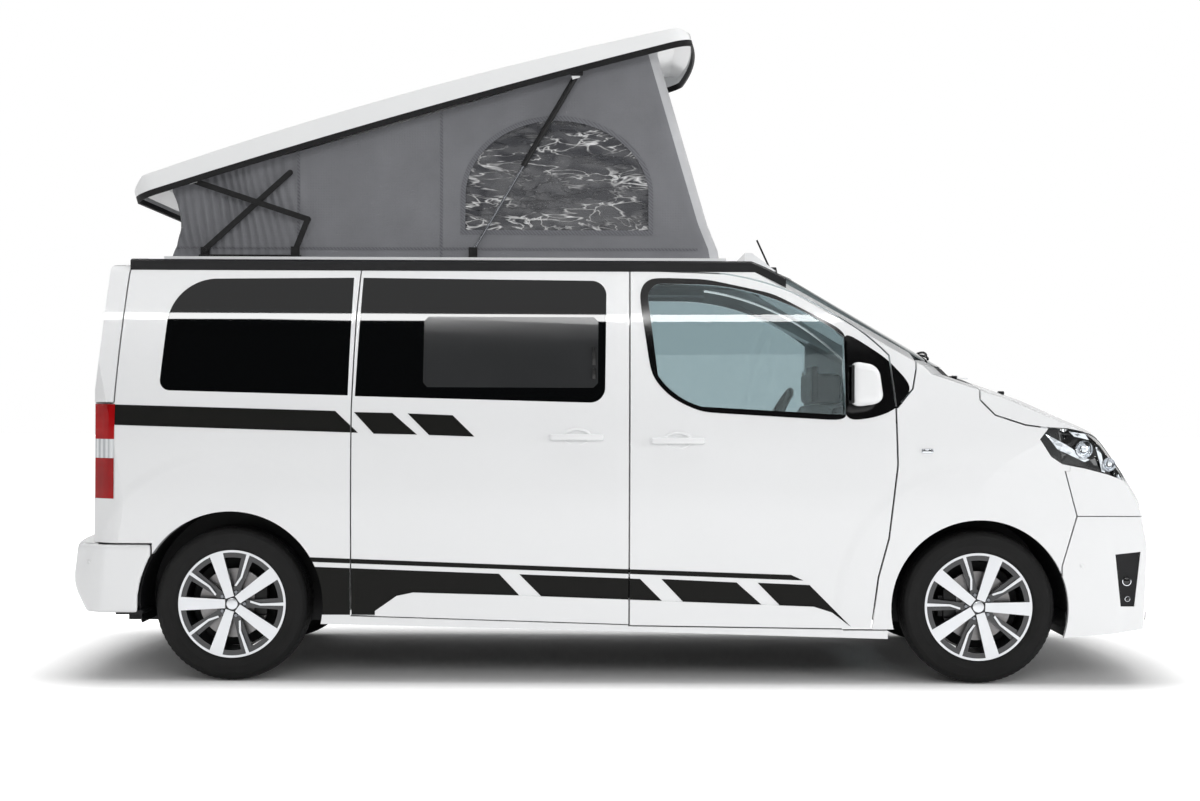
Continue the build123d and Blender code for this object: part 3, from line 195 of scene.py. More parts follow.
def woven_canvas(tree, spot):
    # Cotton-polyester canvas, woven and coated: grey, matt, with a thread grid drawn coarse so that it shows.
    colour = bpy.context.scene.van_colours.canvas
    warp, weft = (put(tree, "TexWave", {"Vector": spot, "Scale": WAVE / 11.84, "Distortion": 0.6}, "Fac",
                      bands_direction=way) for way in ("X", "Z"))
    grid = put(tree, "Math", {0: warp, 1: weft}, operation="MULTIPLY")
    wash = put(tree, "TexNoise", {"Vector": spot, "Scale": 1000.0 / 190.0, "Detail": 6.0})
    crease = put(tree, "TexNoise", {"Vector": spot, "Scale": 1000.0 / 38.0, "Detail": 5.0, "Distortion": 0.6})
    both = put(tree, "Math", {0: grid, 1: 0.22, 2: crease}, operation="MULTIPLY_ADD")
    return {"Base Color": put(tree, "Mix", {0: wash, 6: shade(colour, 0.78), 7: shade(colour, 1.12)}, 2,
                              data_type="RGBA"),
            "Roughness": 0.9, "Sheen Weight": 0.2, "Specular IOR Level": 0.2,
            "Normal": put(tree, "Bump", {"Height": both, "Strength": 0.55, "Distance": 0.004})}


def canvas_painted_front_light(tree, spot):
    # The same canvas on the front wall and round its front corners, painted pale grey as painted light from the front:
    # matt, washed in soft patches, with its weft threads.
    weave = put(tree, "TexWave", {"Vector": spot, "Scale": WAVE / 11.84, "Distortion": 0.6}, "Fac",
                bands_direction="Z")
    wash = put(tree, "TexNoise", {"Vector": spot, "Scale": 1000.0 / 190.0, "Detail": 6.0})
    return {"Base Color": put(tree, "Mix", {0: wash, 6: srgb("A9AAAD"), 7: srgb("D2D3D5")}, 2, data_type="RGBA"),
            "Roughness": 0.9, "Sheen Weight": 0.2, "Specular IOR Level": 0.2,
            "Normal": put(tree, "Bump", {"Height": weave, "Strength": 0.3, "Distance": 0.001})}


def window_film(tree, spot):
    # Soft PVC film, sewn in: see-through and smoky dark grey, partly its own tint and partly painted shade of the
    # tent's inside, with sharp crinkles that carry white painted highlights in thin threads.
    threads = []
    for turn, width in ((0.60, 74.0), (0.15, 62.0)):
        long = put(tree, "Mapping", {"Vector": spot, "Rotation": (0.0, -turn, 0.0), "Scale": (0.3, 1.0, 1.0)})
        fold = put(tree, "TexNoise", {"Vector": long, "Scale": 1000.0 / width, "Detail": 3.0, "Distortion": 0.7})
        off = put(tree, "Math", {0: fold, 1: 0.5}, operation="SUBTRACT")
        near = put(tree, "Math", {0: off}, operation="ABSOLUTE")
        threads.append(put(tree, "MapRange", {"Value": near, "From Max": 0.026, "To Min": 1.0, "To Max": 0.0},
                           interpolation_type="SMOOTHSTEP"))
    lines = put(tree, "Math", {0: threads[0], 1: threads[1]}, operation="MAXIMUM")
    patch = put(tree, "TexNoise", {"Vector": long, "Scale": 1000.0 / 95.0, "Detail": 3.0})
    where = put(tree, "MapRange", {"Value": patch, "From Min": 0.40, "From Max": 0.56})
    # White painted highlight along the crinkle lines, shown only in patches.
    painted_highlight = put(tree, "Math", {0: lines, 1: where}, operation="MULTIPLY")
    return {"Base Color": put(tree, "Mix", {0: painted_highlight, 6: srgb("4E4F53"), 7: srgb("FAFAFB")}, 2, data_type="RGBA"),
            "Roughness": 0.16, "IOR": 1.5, "Alpha": 0.86, "Coat Weight": 0.6,
            "Normal": put(tree, "Bump", {"Height": lines, "Strength": 0.8, "Distance": 0.012})}


def patterned(kind, size, colour, rough, bump=None, bands=None, detail=2.0, **sockets):
    """Recipe with one texture, its size in mm: a pair of colours blends by it, a pair of roughnesses spans it."""
    def recipe(tree, spot):
        inputs = {"Vector": spot, "Scale": (WAVE if bands else 1000.0) / size}
        if kind == "TexNoise":
            inputs["Detail"] = detail
        value = put(tree, kind, inputs, "Fac" if bands else 0, **({"bands_direction": bands} if bands else {}))
        look = {"Base Color": srgb(colour[0]), "Roughness": rough[0], **sockets}
        if len(colour) == 2:
            ends = {6: srgb(colour[0]), 7: srgb(colour[1])}
            look["Base Color"] = put(tree, "Mix", {0: value, **ends}, 2, data_type="RGBA")
        if len(rough) == 2:
            look["Roughness"] = put(tree, "MapRange", {"Value": value, "To Min": rough[0], "To Max": rough[1]})
        if bump:
            look["Normal"] = put(tree, "Bump", {"Height": value, "Strength": bump[0], "Distance": bump[1]})
        return look
    return recipe


def clear(colour, rough, ior):
    """Recipe of a see-through finish with nothing drawn on it."""
    return lambda tree, spot: {"Base Color": srgb(colour), "Roughness": rough, "IOR": ior, "Transmission Weight": 1.0}


RECIPES = {
    "paint": ("two_coat_paint_sprayed", sprayed_paint, "paint"),
    "shell": ("gel_coat_moulded", moulded_shell, "paint"),
    "vinyl": ("cast_vinyl_stuck_on", vinyl_film, "black_plastic"),
    "plastic": ("polypropylene_moulded_grain", grained_plastic, "black_plastic"),
    # Acrylic-capped ABS, moulded: piano black, with clear reflections and a few hazy patches.
    "gloss": ("abs_moulded_gloss_black",
              patterned("TexNoise", 120.0, ("0A0A0B",), (0.06, 0.16), IOR=1.5), "black_plastic"),
    # Privacy glass, toughened: almost black from outside, with a clean mirror of the room.
    "tint": ("privacy_glass_toughened",
             patterned("TexNoise", 700.0, ("050607",), (0.02,), (0.02, 0.001), IOR=1.52), "tinted_glass"),
    # Acrylic sliding pane, smoked: a shade lighter than the glass round it and a little hazy.
    "pane": ("acrylic_pane_smoked",
             patterned("TexNoise", 300.0, ("2A2B2C", "333435"), (0.12,), IOR=1.49), "tinted_glass"),
    # Laminated glass with a faint blue-green tint: shows the cabin and a weak reflection.
    "glass": ("laminated_glass_clear", clear("BCCACD", 0.0, 1.45), "clear_glass"),
    # Polycarbonate, moulded and hard-coated: water-clear lens with a sharp highlight.
    "lens": ("polycarbonate_lens_clear", clear("F4F7F8", 0.02, 1.25), "lamp_clear"),
    "red": ("acrylic_lens_red", lamp_red, "lamp_red"),
    # Acrylic, moulded clear over a bright reflector: pale grey with fine upright ribs.
    "white_lens": ("acrylic_lens_over_reflector",
                   patterned("TexWave", 17.76, ("A9ADB2", "E9ECEE"), (0.12,), (0.4, 0.0012), "Y",
                             **{"IOR": 1.49, "Coat Weight": 1.0}), "lamp_clear"),
    # Vacuum-metallised plastic: a bright silver mirror, broken by shallow facets.
    "reflector": ("metallised_reflector_faceted",
                  patterned("TexVoronoi", 26.0, ("C9CCD0",), (0.12,), (0.5, 0.004), Metallic=1.0), "lamp_clear"),
    "alloy": ("aluminium_cast_and_turned", turned_alloy, "alloy"),
    "tyre": ("tyre_rubber_moulded", tyre_rubber, "tyre"),
    # EPDM rubber, extruded: matt black, a little uneven.
    "seal": ("epdm_rubber_extruded",
             patterned("TexNoise", 40.0, ("0C0C0D", "171718"), (0.68,), detail=4.0, **{"Specular IOR Level": 0.25}),
             "seal"),
    "canvas": ("canvas_woven_coated", woven_canvas, "canvas"),
    # Pale canvas for the tent's front: painted light from the front.
    "pale": ("canvas_woven_painted_front_light", canvas_painted_front_light, "canvas"),
    # PVC film with white painted highlights on its crinkles, its dark grey partly painted shade of the tent's inside.
    "film": ("pvc_film_crinkled_painted_light", window_film, "canvas"),
    # Polyester binding tape, woven and sewn on: darker grey than the canvas, with a rib drawn coarse so that it shows.
    "tape": ("polyester_tape_sewn",
             patterned("TexWave", 7.89, ("5F6064", "74757A"), (0.85,), (0.4, 0.0006), "DIAGONAL"), "canvas"),
    # Polyester seat cloth, knitted: charcoal with a pale fleck and a soft sheen.
    "cloth": ("seat_cloth_knitted",
              patterned("TexVoronoi", 5.0, ("1E1F21", "46484C"), (0.92,), (0.4, 0.001), **{"Sheen Weight": 0.3}),
              "seat_fabric"),
    # Pressed steel with a black wax coat: dark, satin, blotchy.
    "chassis": ("pressed_steel_wax_coated",
                patterned("TexNoise", 80.0, ("111112", "1F1F21"), (0.45, 0.75), detail=5.0, Metallic=0.3), "steel"),
    # Steel flats, powder coated black: satin with a fine pebble, drawn coarse so that it shows.
    "coated": ("steel_powder_coated",
               patterned("TexNoise", 3.0, ("0D0D0E",), (0.42,), (0.2, 0.00025), **{"Specular IOR Level": 0.3}),
               "lift_steel"),
    # Steel, turned and left bare: grey metal, patchy in its shine, with a warm bloom of rust.
    "bare": ("steel_turned_bare",
             patterned("TexNoise", 30.0, ("6D6965", "97979A"), (0.28, 0.5), detail=4.0, Metallic=1.0), "disc_steel"),
    # Steel, hard chromed and ground: a grey mirror with faint marks.
    "rod": ("steel_hard_chromed",
            patterned("TexNoise", 12.0, ("6E7074",), (0.14, 0.28), Metallic=1.0), "rod_steel"),
    # Aluminium plate under reflective film, left blank: flat white, with a glass-bead sparkle painted in as fine paler
    # and greyer cells.
    "plate": ("aluminium_plate_film_coated",
              patterned("TexVoronoi", 3.0, ("E6E7E7", "D7D8D9"), (0.4,), IOR=1.5), "paint"),
}
ENDS = [axle + "_" + side for axle in ("front", "rear") for side in ("left", "right")]
FINISH = {
    "paint": ("body_sides", "sliding_doors", "roof_panel", "roof_deflector", "rear_bumper", "front_wings", "nose_panel",
              "front_bumper", "bonnet", "tailgate", "front_door_left", "front_door_right"),
    "shell": ("roof_shell",),
    "plastic": ("roof_rails", "antenna", "front_grilles", "scuttle_panel", "wheel_liners", "dashboard",
                "steering_wheel", "fuel_tank"),
    "tint": ("side_windows", "tailgate_glass"),
    "glass": ("windscreen", "front_door_glass_left", "front_door_glass_right"),
    "chassis": ("floor_pan", "front_subframe", "rear_axle", "engine_block", "knuckle_left", "knuckle_right"),
    "bare": ["exhaust"] + ["brake_disc_" + end for end in ENDS],
    "alloy": ["rim_" + end for end in ENDS],
    "seal": ("roof_seal",),
    "cloth": ("front_seats", "rear_bench"),
    "coated": ("scissor_base_arms", "scissor_roof_arms", "scissor_links", "lift_brackets", "strut_tubes"),
    "rod": ("strut_rods",),
}


def finish(key):
    """The material of a finish, made once."""
    if key not in DONE:
        name, recipe, _ = RECIPES[key]
        made = bpy.data.materials.new(name)
        made.use_nodes = True
        tree = made.node_tree
        shader = tree.nodes["Principled BSDF"]
        for socket, value in recipe(tree, put(tree, "TexCoord", out="Object")).items():
            if isinstance(value, bpy.types.NodeSocket):
                tree.links.new(value, shader.inputs[socket])
            else:
                shader.inputs[socket].default_value = value
        DONE[key] = made
    return DONE[key]


def piece(name, bm, body, *keys, smooth=35.0):
    """Object from a bmesh, in its finishes, riding on a body."""
    mesh = bpy.data.meshes.new(name)
    bm.to_mesh(mesh)
    bm.free()
    for key in keys:
        mesh.materials.append(finish(key))
    made = bpy.data.objects.new(name, mesh)
    bpy.context.scene.collection.objects.link(made)
    mesh.shade_smooth()
    if smooth < 180.0:
        mesh.set_sharp_from_angle(angle=math.radians(smooth))
    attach(made, body)
    return made


def faces_of(node, wanted):
    """Faces of a solid that pass a test."""
    bm = bmesh.new()
    bm.from_mesh(NODES[node].data)
    bmesh.ops.delete(bm, geom=[f for f in bm.faces if not wanted(f)], context="FACES")
    bmesh.ops.remove_doubles(bm, verts=bm.verts, dist=0.00005)
    return bm


def skin(node, sign, way=1, apart=0.3):
    """Faces of a panel that look along an axis, on one side of the van."""
    return faces_of(node, lambda f: f.normal[way] * sign >= 0.25 and f.calc_center_median()[way] * sign >= apart)


def lamp_skin(sign):
    """Outer face of one headlamp, from the nose round to the wing."""
    look = Vector((0.75, 0.62 * sign, 0.25))
    return faces_of("headlamps", lambda f: f.normal.dot(look) >= 0.35 and f.calc_center_median().y * sign >= 0.0)


def hit(node, start_at, way):
    """Where a ray first meets a panel, and its normal there."""
    found, spot, normal, _ = NODES[node].ray_cast(Vector(start_at), Vector(way))
    if not found:
        raise RuntimeError("no surface of %s from %s" % (node, tuple(start_at)))
    return spot, normal


def side_y(node, x, z, sign):
    """Outer surface of a panel at a point of the side view."""
    return hit(node, (x, sign * OUTSIDE, z), (0, -sign, 0))


def stand(bm, spot, normal):
    """Turn a part that looks up so that it looks along a normal, and move it to a spot."""
    bmesh.ops.rotate(bm, cent=(0, 0, 0), verts=bm.verts, matrix=normal.to_track_quat("Z", "Y").to_matrix())
    bmesh.ops.translate(bm, vec=spot, verts=bm.verts)
    return bm


def trim(bm, outline):
    """Keep what lies inside a convex outline of (x, z) points in millimetres, listed clockwise."""
    count = len(outline)
    for i in range(count):
        (ax, az), (bx, bz) = outline[i], outline[(i + 1) % count]
        cut = Vector((-(bz - az), 0.0, bx - ax)).normalized()
        bmesh.ops.bisect_plane(bm, geom=bm.verts[:] + bm.edges[:] + bm.faces[:], dist=1e-6,
                               plane_co=(ax / 1000.0, 0.0, az / 1000.0), plane_no=cut, clear_outer=True)
    return bm


def lift(bm, distance):
    """Move the skin outward by a distance along its own normals."""
    bm.normal_update()
    for v in bm.verts:
        v.co += v.normal * distance


def join(target, part, index=0):
    """Add a bmesh to another, in one of its finishes."""
    mesh = bpy.data.meshes.new("joined")
    for f in part.faces:
        f.material_index = index
    part.to_mesh(mesh)
    part.free()
    target.from_mesh(mesh)
    bpy.data.meshes.remove(mesh)


def lathe(profile, steps, centre, axis="Y", sign=1):
    """Turn (radius, out) points about the Y or Z axis through the centre."""
    bm = bmesh.new()
    rings = []
    for k in range(steps):
        a = 2.0 * math.pi * k / steps
        ring = []
        for r, out in profile:
            p = Vector((r * math.cos(a), out * sign, r * math.sin(a)))
            if axis == "Z":
                p = Vector((p.x, p.z, p.y))
            ring.append(bm.verts.new(p + Vector(centre)))
        rings.append(ring)
    for k in range(steps):
        a, b = rings[k], rings[(k + 1) % steps]
        for i in range(len(profile) - 1):
            bm.faces.new((a[i], a[i + 1], b[i + 1], b[i]))
    bmesh.ops.remove_doubles(bm, verts=bm.verts, dist=1e-6)
    bmesh.ops.recalc_face_normals(bm, faces=bm.faces)
    return bm


def soft_box(size, centre, round_by, segments=4):
    """Box with rounded edges."""
    bm = bmesh.new()
    bmesh.ops.create_cube(bm, size=1.0)
    bmesh.ops.scale(bm, vec=size, verts=bm.verts)
    bmesh.ops.bevel(bm, geom=bm.edges[:], offset=round_by, segments=segments, profile=0.6, affect="EDGES")
    bmesh.ops.translate(bm, vec=centre, verts=bm.verts)
    return bm


class VAN_OT_finishes(bpy.types.Operator):
    """Give each solid of the van the finish of the real piece"""

    bl_idname = "van.finishes"
    bl_label = "Solid finishes"

    def execute(self, context):
        for key, names in FINISH.items():
            for name in names:
                mesh = NODES[name].data
                mesh.materials.clear()
                mesh.materials.append(finish(key))
        return {"FINISHED"}


STRIPES = (
    ((-2187, 1211), (-1223, 1187), (-1122, 1092), (-2187, 1122)),
    ((-1141, 1182), (-973, 1179), (-864, 1085), (-1053, 1088)),
    ((-906, 1177), (-709, 1170), (-613, 1077), (-811, 1083)),
    ((-1331, 548), (-65, 505), (-65, 485), (-1331, 528)),
    ((-65, 505), (772, 479), (826, 455), (-65, 485)),
    ((-1331, 507), (-1043, 497), (-1043, 297), (-1331, 297)),
    ((-1043, 497), (-949, 494), (-949, 381), (-1043, 315)),
    ((-949, 494), (-877, 491.5), (-877, 396), (-949, 381)),
    ((-877, 491.5), (-503, 479), (-414, 385), (-877, 396)),
    ((-414, 477), (113, 459), (208, 364), (-319, 382)),
    ((206, 459), (534, 445), (643, 349), (300, 360.5)),
    ((626, 444), (853, 435), (871, 417), (871, 341), (723, 346)),
    ((871, 417), (951, 337), (951, 316), (871, 341)),
    ((951, 337), (1036, 252), (951, 316)),
)


def rounded(outline, times=3):
    """The outline with its corners cut back in small steps."""
    for _ in range(times):
        ring = []
        for (ax, az), (bx, bz) in zip(outline, outline[1:] + outline[:1]):
            share = min(0.25, 30.0 / math.hypot(bx - ax, bz - az))
            ring.append((ax + (bx - ax) * share, az + (bz - az) * share))
            ring.append((bx - (bx - ax) * share, bz - (bz - az) * share))
        outline = tuple(ring)
    return outline


PANELS = {"body": ("body_sides", "sliding_doors", "front_wings"), "door": ("front_door_%s",)}


def laid_on(side, sign, outlines, distance):
    """Patches of the side panels inside the outlines, by body."""
    found = {}
    for body, names in PANELS.items():
        rider = body if body == "body" else "door_" + side
        whole = bmesh.new()
        for name in names:
            node = name % side if "%s" in name else name
            for outline in outlines:
                part = trim(skin(node, sign), outline)
                lift(part, distance)
                join(whole, part)
        found[rider] = whole
    return found


class VAN_OT_stripes(bpy.types.Operator):
    """Lay the black stripes on both sides, cut at the door gaps"""

    bl_idname = "van.stripes"
    bl_label = "Side stripes"

    def execute(self, context):
        distance = context.scene.van_sizes.film
        for side, sign in SIDES:
            for rider, bm in laid_on(side, sign, STRIPES, distance).items():
                if not bm.faces:
                    raise RuntimeError("a stripe found no panel")
                piece("stripes_%s_%s" % (rider, side), bm, rider, "vinyl")
        return {"FINISHED"}


DOOR_FRAME = (
    ((105, 1720), (150, 1784), (405, 1778), (702, 1714), (1020, 1543), (1020, 1152), (375, 1188), (245, 1250),
     (160, 1345)),
    ((1005, 1550), (1193, 1428), (1309, 1300), (1238, 1208), (1136, 1165), (1005, 1152)),
)


class VAN_OT_door_frames(bpy.types.Operator):
    """Black surround of the front door windows with the sail panel"""

    bl_idname = "van.door_frames"
    bl_label = "Door window surrounds"

    def execute(self, context):
        for side, sign in SIDES:
            for rider, bm in laid_on(side, sign, [rounded(line) for line in DOOR_FRAME], 0.0015).items():
                if bm.faces:
                    piece("window_surround_%s_%s" % (rider, side), bm, rider, "gloss")
                else:
                    bm.free()
        return {"FINISHED"}


TENT_LOW = 1.8797
TENT_HALF = 0.609
TENT_FRONT = ((1.8795, 0.478), (1.925, 0.470), (2.041, 0.423), (2.816, 0.193))
TENT_TOP = ((-2.012, 2.205), (0.193, 2.846))
TENT_BACK, TENT_NOSE = -2.010, 0.193  # ends of the top edge
CORNER = 0.085  # radius of the front corners
WINDOW = (-0.264, 0.428, 1.996, 2.165, 0.354)  # middle, half width, foot, spring of the arch and its rise
SEAMS = (-1.436, -0.788)  # the upright ones
SIDE_FROM = 0.55  # the window is cut only where the wall lies farther out than this
WINDOW_HEM = 0.014


def between(table, at):
    """Value at a place in a table of (place, value) rows, straight between the rows."""
    for (a, low), (b, high) in zip(table, table[1:]):
        if at <= b:
            return low + (high - low) * (at - a) / (b - a)
    return table[-1][1]


def tent_rear(z):
    """X of the tent's rear edge at a height."""
    return -2.008 + 0.036 * math.sin(math.pi * min(1.0, max(0.0, (z - TENT_LOW) / 0.3)))


def tent_wall(x, z, sign):
    """Distance of a side wall from the middle of the van, with its pleats, slack and wrinkles."""
    pleat = bpy.context.scene.van_sizes.pleat
    rise = min(1.0, max(0.0, (z - TENT_LOW) / (between(TENT_TOP, x) - TENT_LOW)))
    hold = math.sin(math.pi * rise) ** 0.5 if 0.0 < rise < 1.0 else 0.0
    lean = x + 0.16 * (z - 2.0)
    back = max(0.0, -1.33 - lean)
    gather = min(1.0, back / 0.30)
    wander = noise.noise(Vector((lean * 3.0, z * 2.2, sign * 3.0)))
    uneven = noise.noise(Vector((lean * 11.0, z * 3.0, sign * 9.0)))
    fold = 0.5 + 0.5 * math.sin(2.0 * math.pi * back / 0.052 * (1.0 + 0.55 * back) + 7.0 * wander + 2.6 * uneven)
    fold *= 0.55 + 0.6 * abs(uneven + 0.4)
    crush = noise.noise(Vector((lean * 30.0, z * 11.0, sign * 7.0))) * 0.004
    slack = 0.010 + noise.noise(Vector((x * 2.1, z * 2.6, 5.0 * sign))) * 0.012
    slack += noise.noise(Vector((x * 8.0, z * 5.0, 2.0 * sign))) * 0.0035
    slack += noise.noise(Vector((lean * 22.0, z * 9.0, 4.0 * sign))) * 0.0012
    for seam in SEAMS:
        slack -= 0.005 * math.exp(-((x - seam) / 0.03) ** 2)
    tucks = (pleat * (1.3 * fold ** 1.6 + 0.3) + crush) * (0.3 + 0.7 * hold)
    return sign * (TENT_HALF - max(0.0, slack * hold * (1.0 - gather) + tucks * gather))


def in_window(x, z, grow=0.0):
    """Whether a point of the side wall lies in the arched window."""
    mid, half, low, spring, crown = WINDOW
    if abs(x - mid) > half + grow or z < low - grow:
        return False
    return z <= spring or ((x - mid) / (half + grow)) ** 2 + ((z - spring) / (crown + grow)) ** 2 <= 1.0


def window_edge(grow):
    """Outline of the arched window, grown by a distance, from its front foot round to the rear one."""
    mid, half, low, spring, crown = WINDOW
    wide, foot = half + grow, low - grow
    points = [(mid + wide, foot + (spring - foot) * k / 12.0) for k in range(12)]
    for k in range(81):
        a = math.pi * k / 80.0
        points.append((mid + wide * math.cos(a), spring + (crown + grow) * math.sin(a)))
    points += [(mid - wide, spring - (spring - foot) * k / 12.0) for k in range(1, 13)]
    return points + [(mid - wide + 2.0 * wide * k / 40.0, foot) for k in range(1, 40)]


def ribbon(bm, first, second, sign, proud=0.0016, closed=False):
    """Flat tape between two rows of (x, z) points, laid on a side wall."""
    rows = [[bm.verts.new((x, tent_wall(x, z, sign) + sign * proud, z)) for x, z in row] for row in (first, second)]
    count = len(first)
    for k in range(count if closed else count - 1):
        after = (k + 1) % count
        bm.faces.new((rows[0][k], rows[0][after], rows[1][after], rows[1][k]))


class VAN_OT_tent(bpy.types.Operator):
    """Sew the tent: gathered walls, binding tapes and clear arched windows"""

    bl_idname = "van.tent"
    bl_label = "Tent"

    def column(self, back, share, y):
        """Points up the wall: back from the front edge, or a share of the way along the side."""
        rows = 84
        x_top = TENT_BACK + (TENT_NOSE - TENT_BACK - CORNER) * share if share is not None else TENT_NOSE - back
        top = between(TENT_TOP, x_top)
        points = []
        for j in range(rows + 1):
            z = TENT_LOW + (top - TENT_LOW) * j / rows
            front = between(TENT_FRONT, z)
            x = front - back if share is None else tent_rear(z) + (front - CORNER - tent_rear(z)) * share
            points.append(Vector((x, y, z)))
        return points

    def walls(self):
        """All four walls in one net, open at the windows."""
        columns, ends, bends = 280, 90, 10
        ring = []
        for sign in (-1, 1):
            side = []
            for i in range(columns + 1):
                points = self.column(0.0, i / columns, 0.0)
                side.append([Vector((p.x, tent_wall(p.x, p.z, sign), p.z)) for p in points])
            for i in range(1, bends):
                a = 0.5 * math.pi * i / bends
                inward = CORNER * (1.0 - math.cos(a))
                points = self.column(CORNER * (1.0 - math.sin(a)), None, 0.0)
                side.append([Vector((p.x, tent_wall(p.x, p.z, sign) - sign * inward, p.z)) for p in points])
            front = []
            for i in range(ends // 2):
                across = (TENT_HALF - CORNER) * (1.0 - 2.0 * i / ends)
                points = self.column(0.0, None, sign * across)
                for j, q in enumerate(points):
                    hold = math.sin(math.pi * j / (len(points) - 1)) ** 0.5
                    q.x -= 0.008 * hold * (noise.noise(q * 4.0) + 1.0) * (1.0 - abs(q.y) / TENT_HALF)
                front.append(points)
            rear = []
            for i in range(1, ends // 2):
                across = TENT_HALF * (1.0 - 2.0 * i / ends)
                points = self.column(0.0, 0.0, sign * across)
                for j, q in enumerate(points):
                    hold = math.sin(math.pi * j / (len(points) - 1)) ** 0.5
                    q.x += (0.010 + 0.009 * math.sin(across * 2.0 * math.pi / 0.07 + 2.0 * noise.noise(q * 3.0))) * hold
                rear.append(points)
            loop = rear[::-1] + side + front
            ring += loop if sign < 0 else loop[::-1]
        bm = bmesh.new()
        grid = [[bm.verts.new(p) for p in points] for points in ring]
        for a, b in zip(grid, grid[1:] + grid[:1]):
            for j in range(len(a) - 1):
                middle = (a[j].co + a[j + 1].co + b[j].co + b[j + 1].co) / 4.0
                if abs(middle.y) < SIDE_FROM or not in_window(middle.x, middle.z, -0.010):
                    made = bm.faces.new((a[j], b[j], b[j + 1], a[j + 1]))
                    # The front wall and its rounded corners take the pale canvas: painted light from the front.
                    made.material_index = 1 if middle.x > between(TENT_FRONT, middle.z) - 0.6 * CORNER else 0
        bmesh.ops.delete(bm, geom=[v for v in bm.verts if not v.link_faces], context="VERTS")
        bmesh.ops.remove_doubles(bm, verts=bm.verts, dist=1e-5)
        bmesh.ops.recalc_face_normals(bm, faces=bm.faces)
        return bm

    def film(self, sign):
        """Clear film of one window, a hem larger than its opening."""
        mid, half, low, spring, crown = WINDOW
        bm = bmesh.new()
        across, up = 108, 66
        net = {}
        for i in range(across + 1):
            for j in range(up + 1):
                x = mid + (2.0 * i / across - 1.0) * (half + WINDOW_HEM)
                z = low - WINDOW_HEM + j / up * (spring + crown - low + 2.0 * WINDOW_HEM)
                if in_window(x, z, 0.0135):
                    inside = 1.0 if in_window(x, z, -0.02) else 0.0
                    wave = noise.noise(Vector((x * 14.0 + z * 6.0, z * 17.0, sign * 2.0))) * 0.0035 * inside
                    net[i, j] = bm.verts.new((x, tent_wall(x, z, sign) - sign * (0.004 - wave), z))
        for i, j in list(net):
            corner = [net.get(k) for k in ((i, j), (i + 1, j), (i + 1, j + 1), (i, j + 1))]
            if all(corner):
                bm.faces.new(corner if sign < 0 else corner[::-1])
        return bm

    def tape(self, sign):
        """Tapes of one wall: round its window, up its seams and along its foot."""
        bm = bmesh.new()
        ribbon(bm, window_edge(-0.013), window_edge(0.009), sign, closed=True)
        for seam in SEAMS:
            top = between(TENT_TOP, seam) - 0.02
            up = [TENT_LOW + 0.005 + (top - TENT_LOW) * k / 60.0 for k in range(61)]
            ribbon(bm, [(seam - 0.006, z) for z in up], [(seam + 0.006, z) for z in up], sign, 0.0012)
        along = [-1.985 + 2.36 * k / 240.0 for k in range(241)]
        ribbon(bm, [(x, 1.917) for x in along], [(x, 1.928) for x in along], sign, 0.002)
        bmesh.ops.recalc_face_normals(bm, faces=bm.faces)
        return bm

    def execute(self, context):
        bm = self.walls()
        area = sum(f.calc_area() for f in bm.faces)
        tent = piece("tent_cloth", bm, "body", "canvas", "pale", smooth=180.0)
        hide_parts("tent")
        films, tapes = [], []
        for side, sign in SIDES:
            made = piece("tent_window_" + side, self.film(sign), "body", "film", smooth=180.0)
            films.append((made, sum(f.area for f in made.data.polygons)))
            tapes.append(piece("tent_tape_" + side, self.tape(sign), "body", "tape", smooth=180.0))
        for made in [tent] + [made for made, _ in films] + tapes:
            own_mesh(made)
        return {"FINISHED"}


class VAN_OT_tyres(bpy.types.Operator):
    """Mould the four tyres with side-wall ribs and a grooved tread"""

    bl_idname = "van.tyres"
    bl_label = "Tyres"

    def execute(self, context):
        deep = context.scene.van_sizes.groove
        half = [(0.2175, 0.086), (0.2300, 0.0895), (0.2375, 0.0950), (0.2440, 0.1015), (0.2460, 0.1040),
                (0.2480, 0.1050), (0.2550, 0.1085), (0.2700, 0.1115), (0.2710, 0.1122), (0.2760, 0.1123),
                (0.2770, 0.1116), (0.2900, 0.1120), (0.3040, 0.1098), (0.3050, 0.1102), (0.3110, 0.1090),
                (0.3120, 0.1080), (0.3220, 0.1035), (0.3290, 0.0965), (0.3325, 0.0890), (0.3345, 0.0780)]
        crown = [(0.3350, 0.0690), (0.3352 - deep, 0.0675), (0.3352 - deep, 0.0605), (0.3356, 0.0590), (0.3372, 0.0300),
                 (0.3374 - deep, 0.0285), (0.3374 - deep, 0.0205), (0.3376, 0.0190)]
        one = half + crown
        whole = one + [(r, -out) for r, out in reversed(one)]
        steps, blocks, slot_deep = 216, 72, 0.004
        for side, sign in SIDES:
            for axle, x, out in AXLES:
                bm = lathe(whole, steps, (x, sign * out, AXLE_Z))
                for v in bm.verts:
                    across = v.co.y - sign * out
                    turn = math.atan2(v.co.z - AXLE_Z, v.co.x - x)
                    slot_at = (turn / (2.0 * math.pi) * blocks + abs(across) * 14.0) % 1.0
                    reach = math.hypot(v.co.z - AXLE_Z, v.co.x - x)
                    if reach > 0.3215 and 0.0 <= slot_at < 0.3 and 0.055 < abs(across) < 0.1:
                        v.co.x -= math.cos(turn) * slot_deep
                        v.co.z -= math.sin(turn) * slot_deep
                name = "%s_%s" % (axle, side)
                made = piece("tyre_tread_" + name, bm, "wheel_" + name, "tyre", smooth=28.0)
                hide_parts("tyre_" + name)
        return {"FINISHED"}


BOLT_CIRCLE = 0.054
CALIPER = (0.062, 0.058, 0.140)
CALIPER_Z = 0.352
CALIPER_BEND = 0.81 / CALIPER[2]


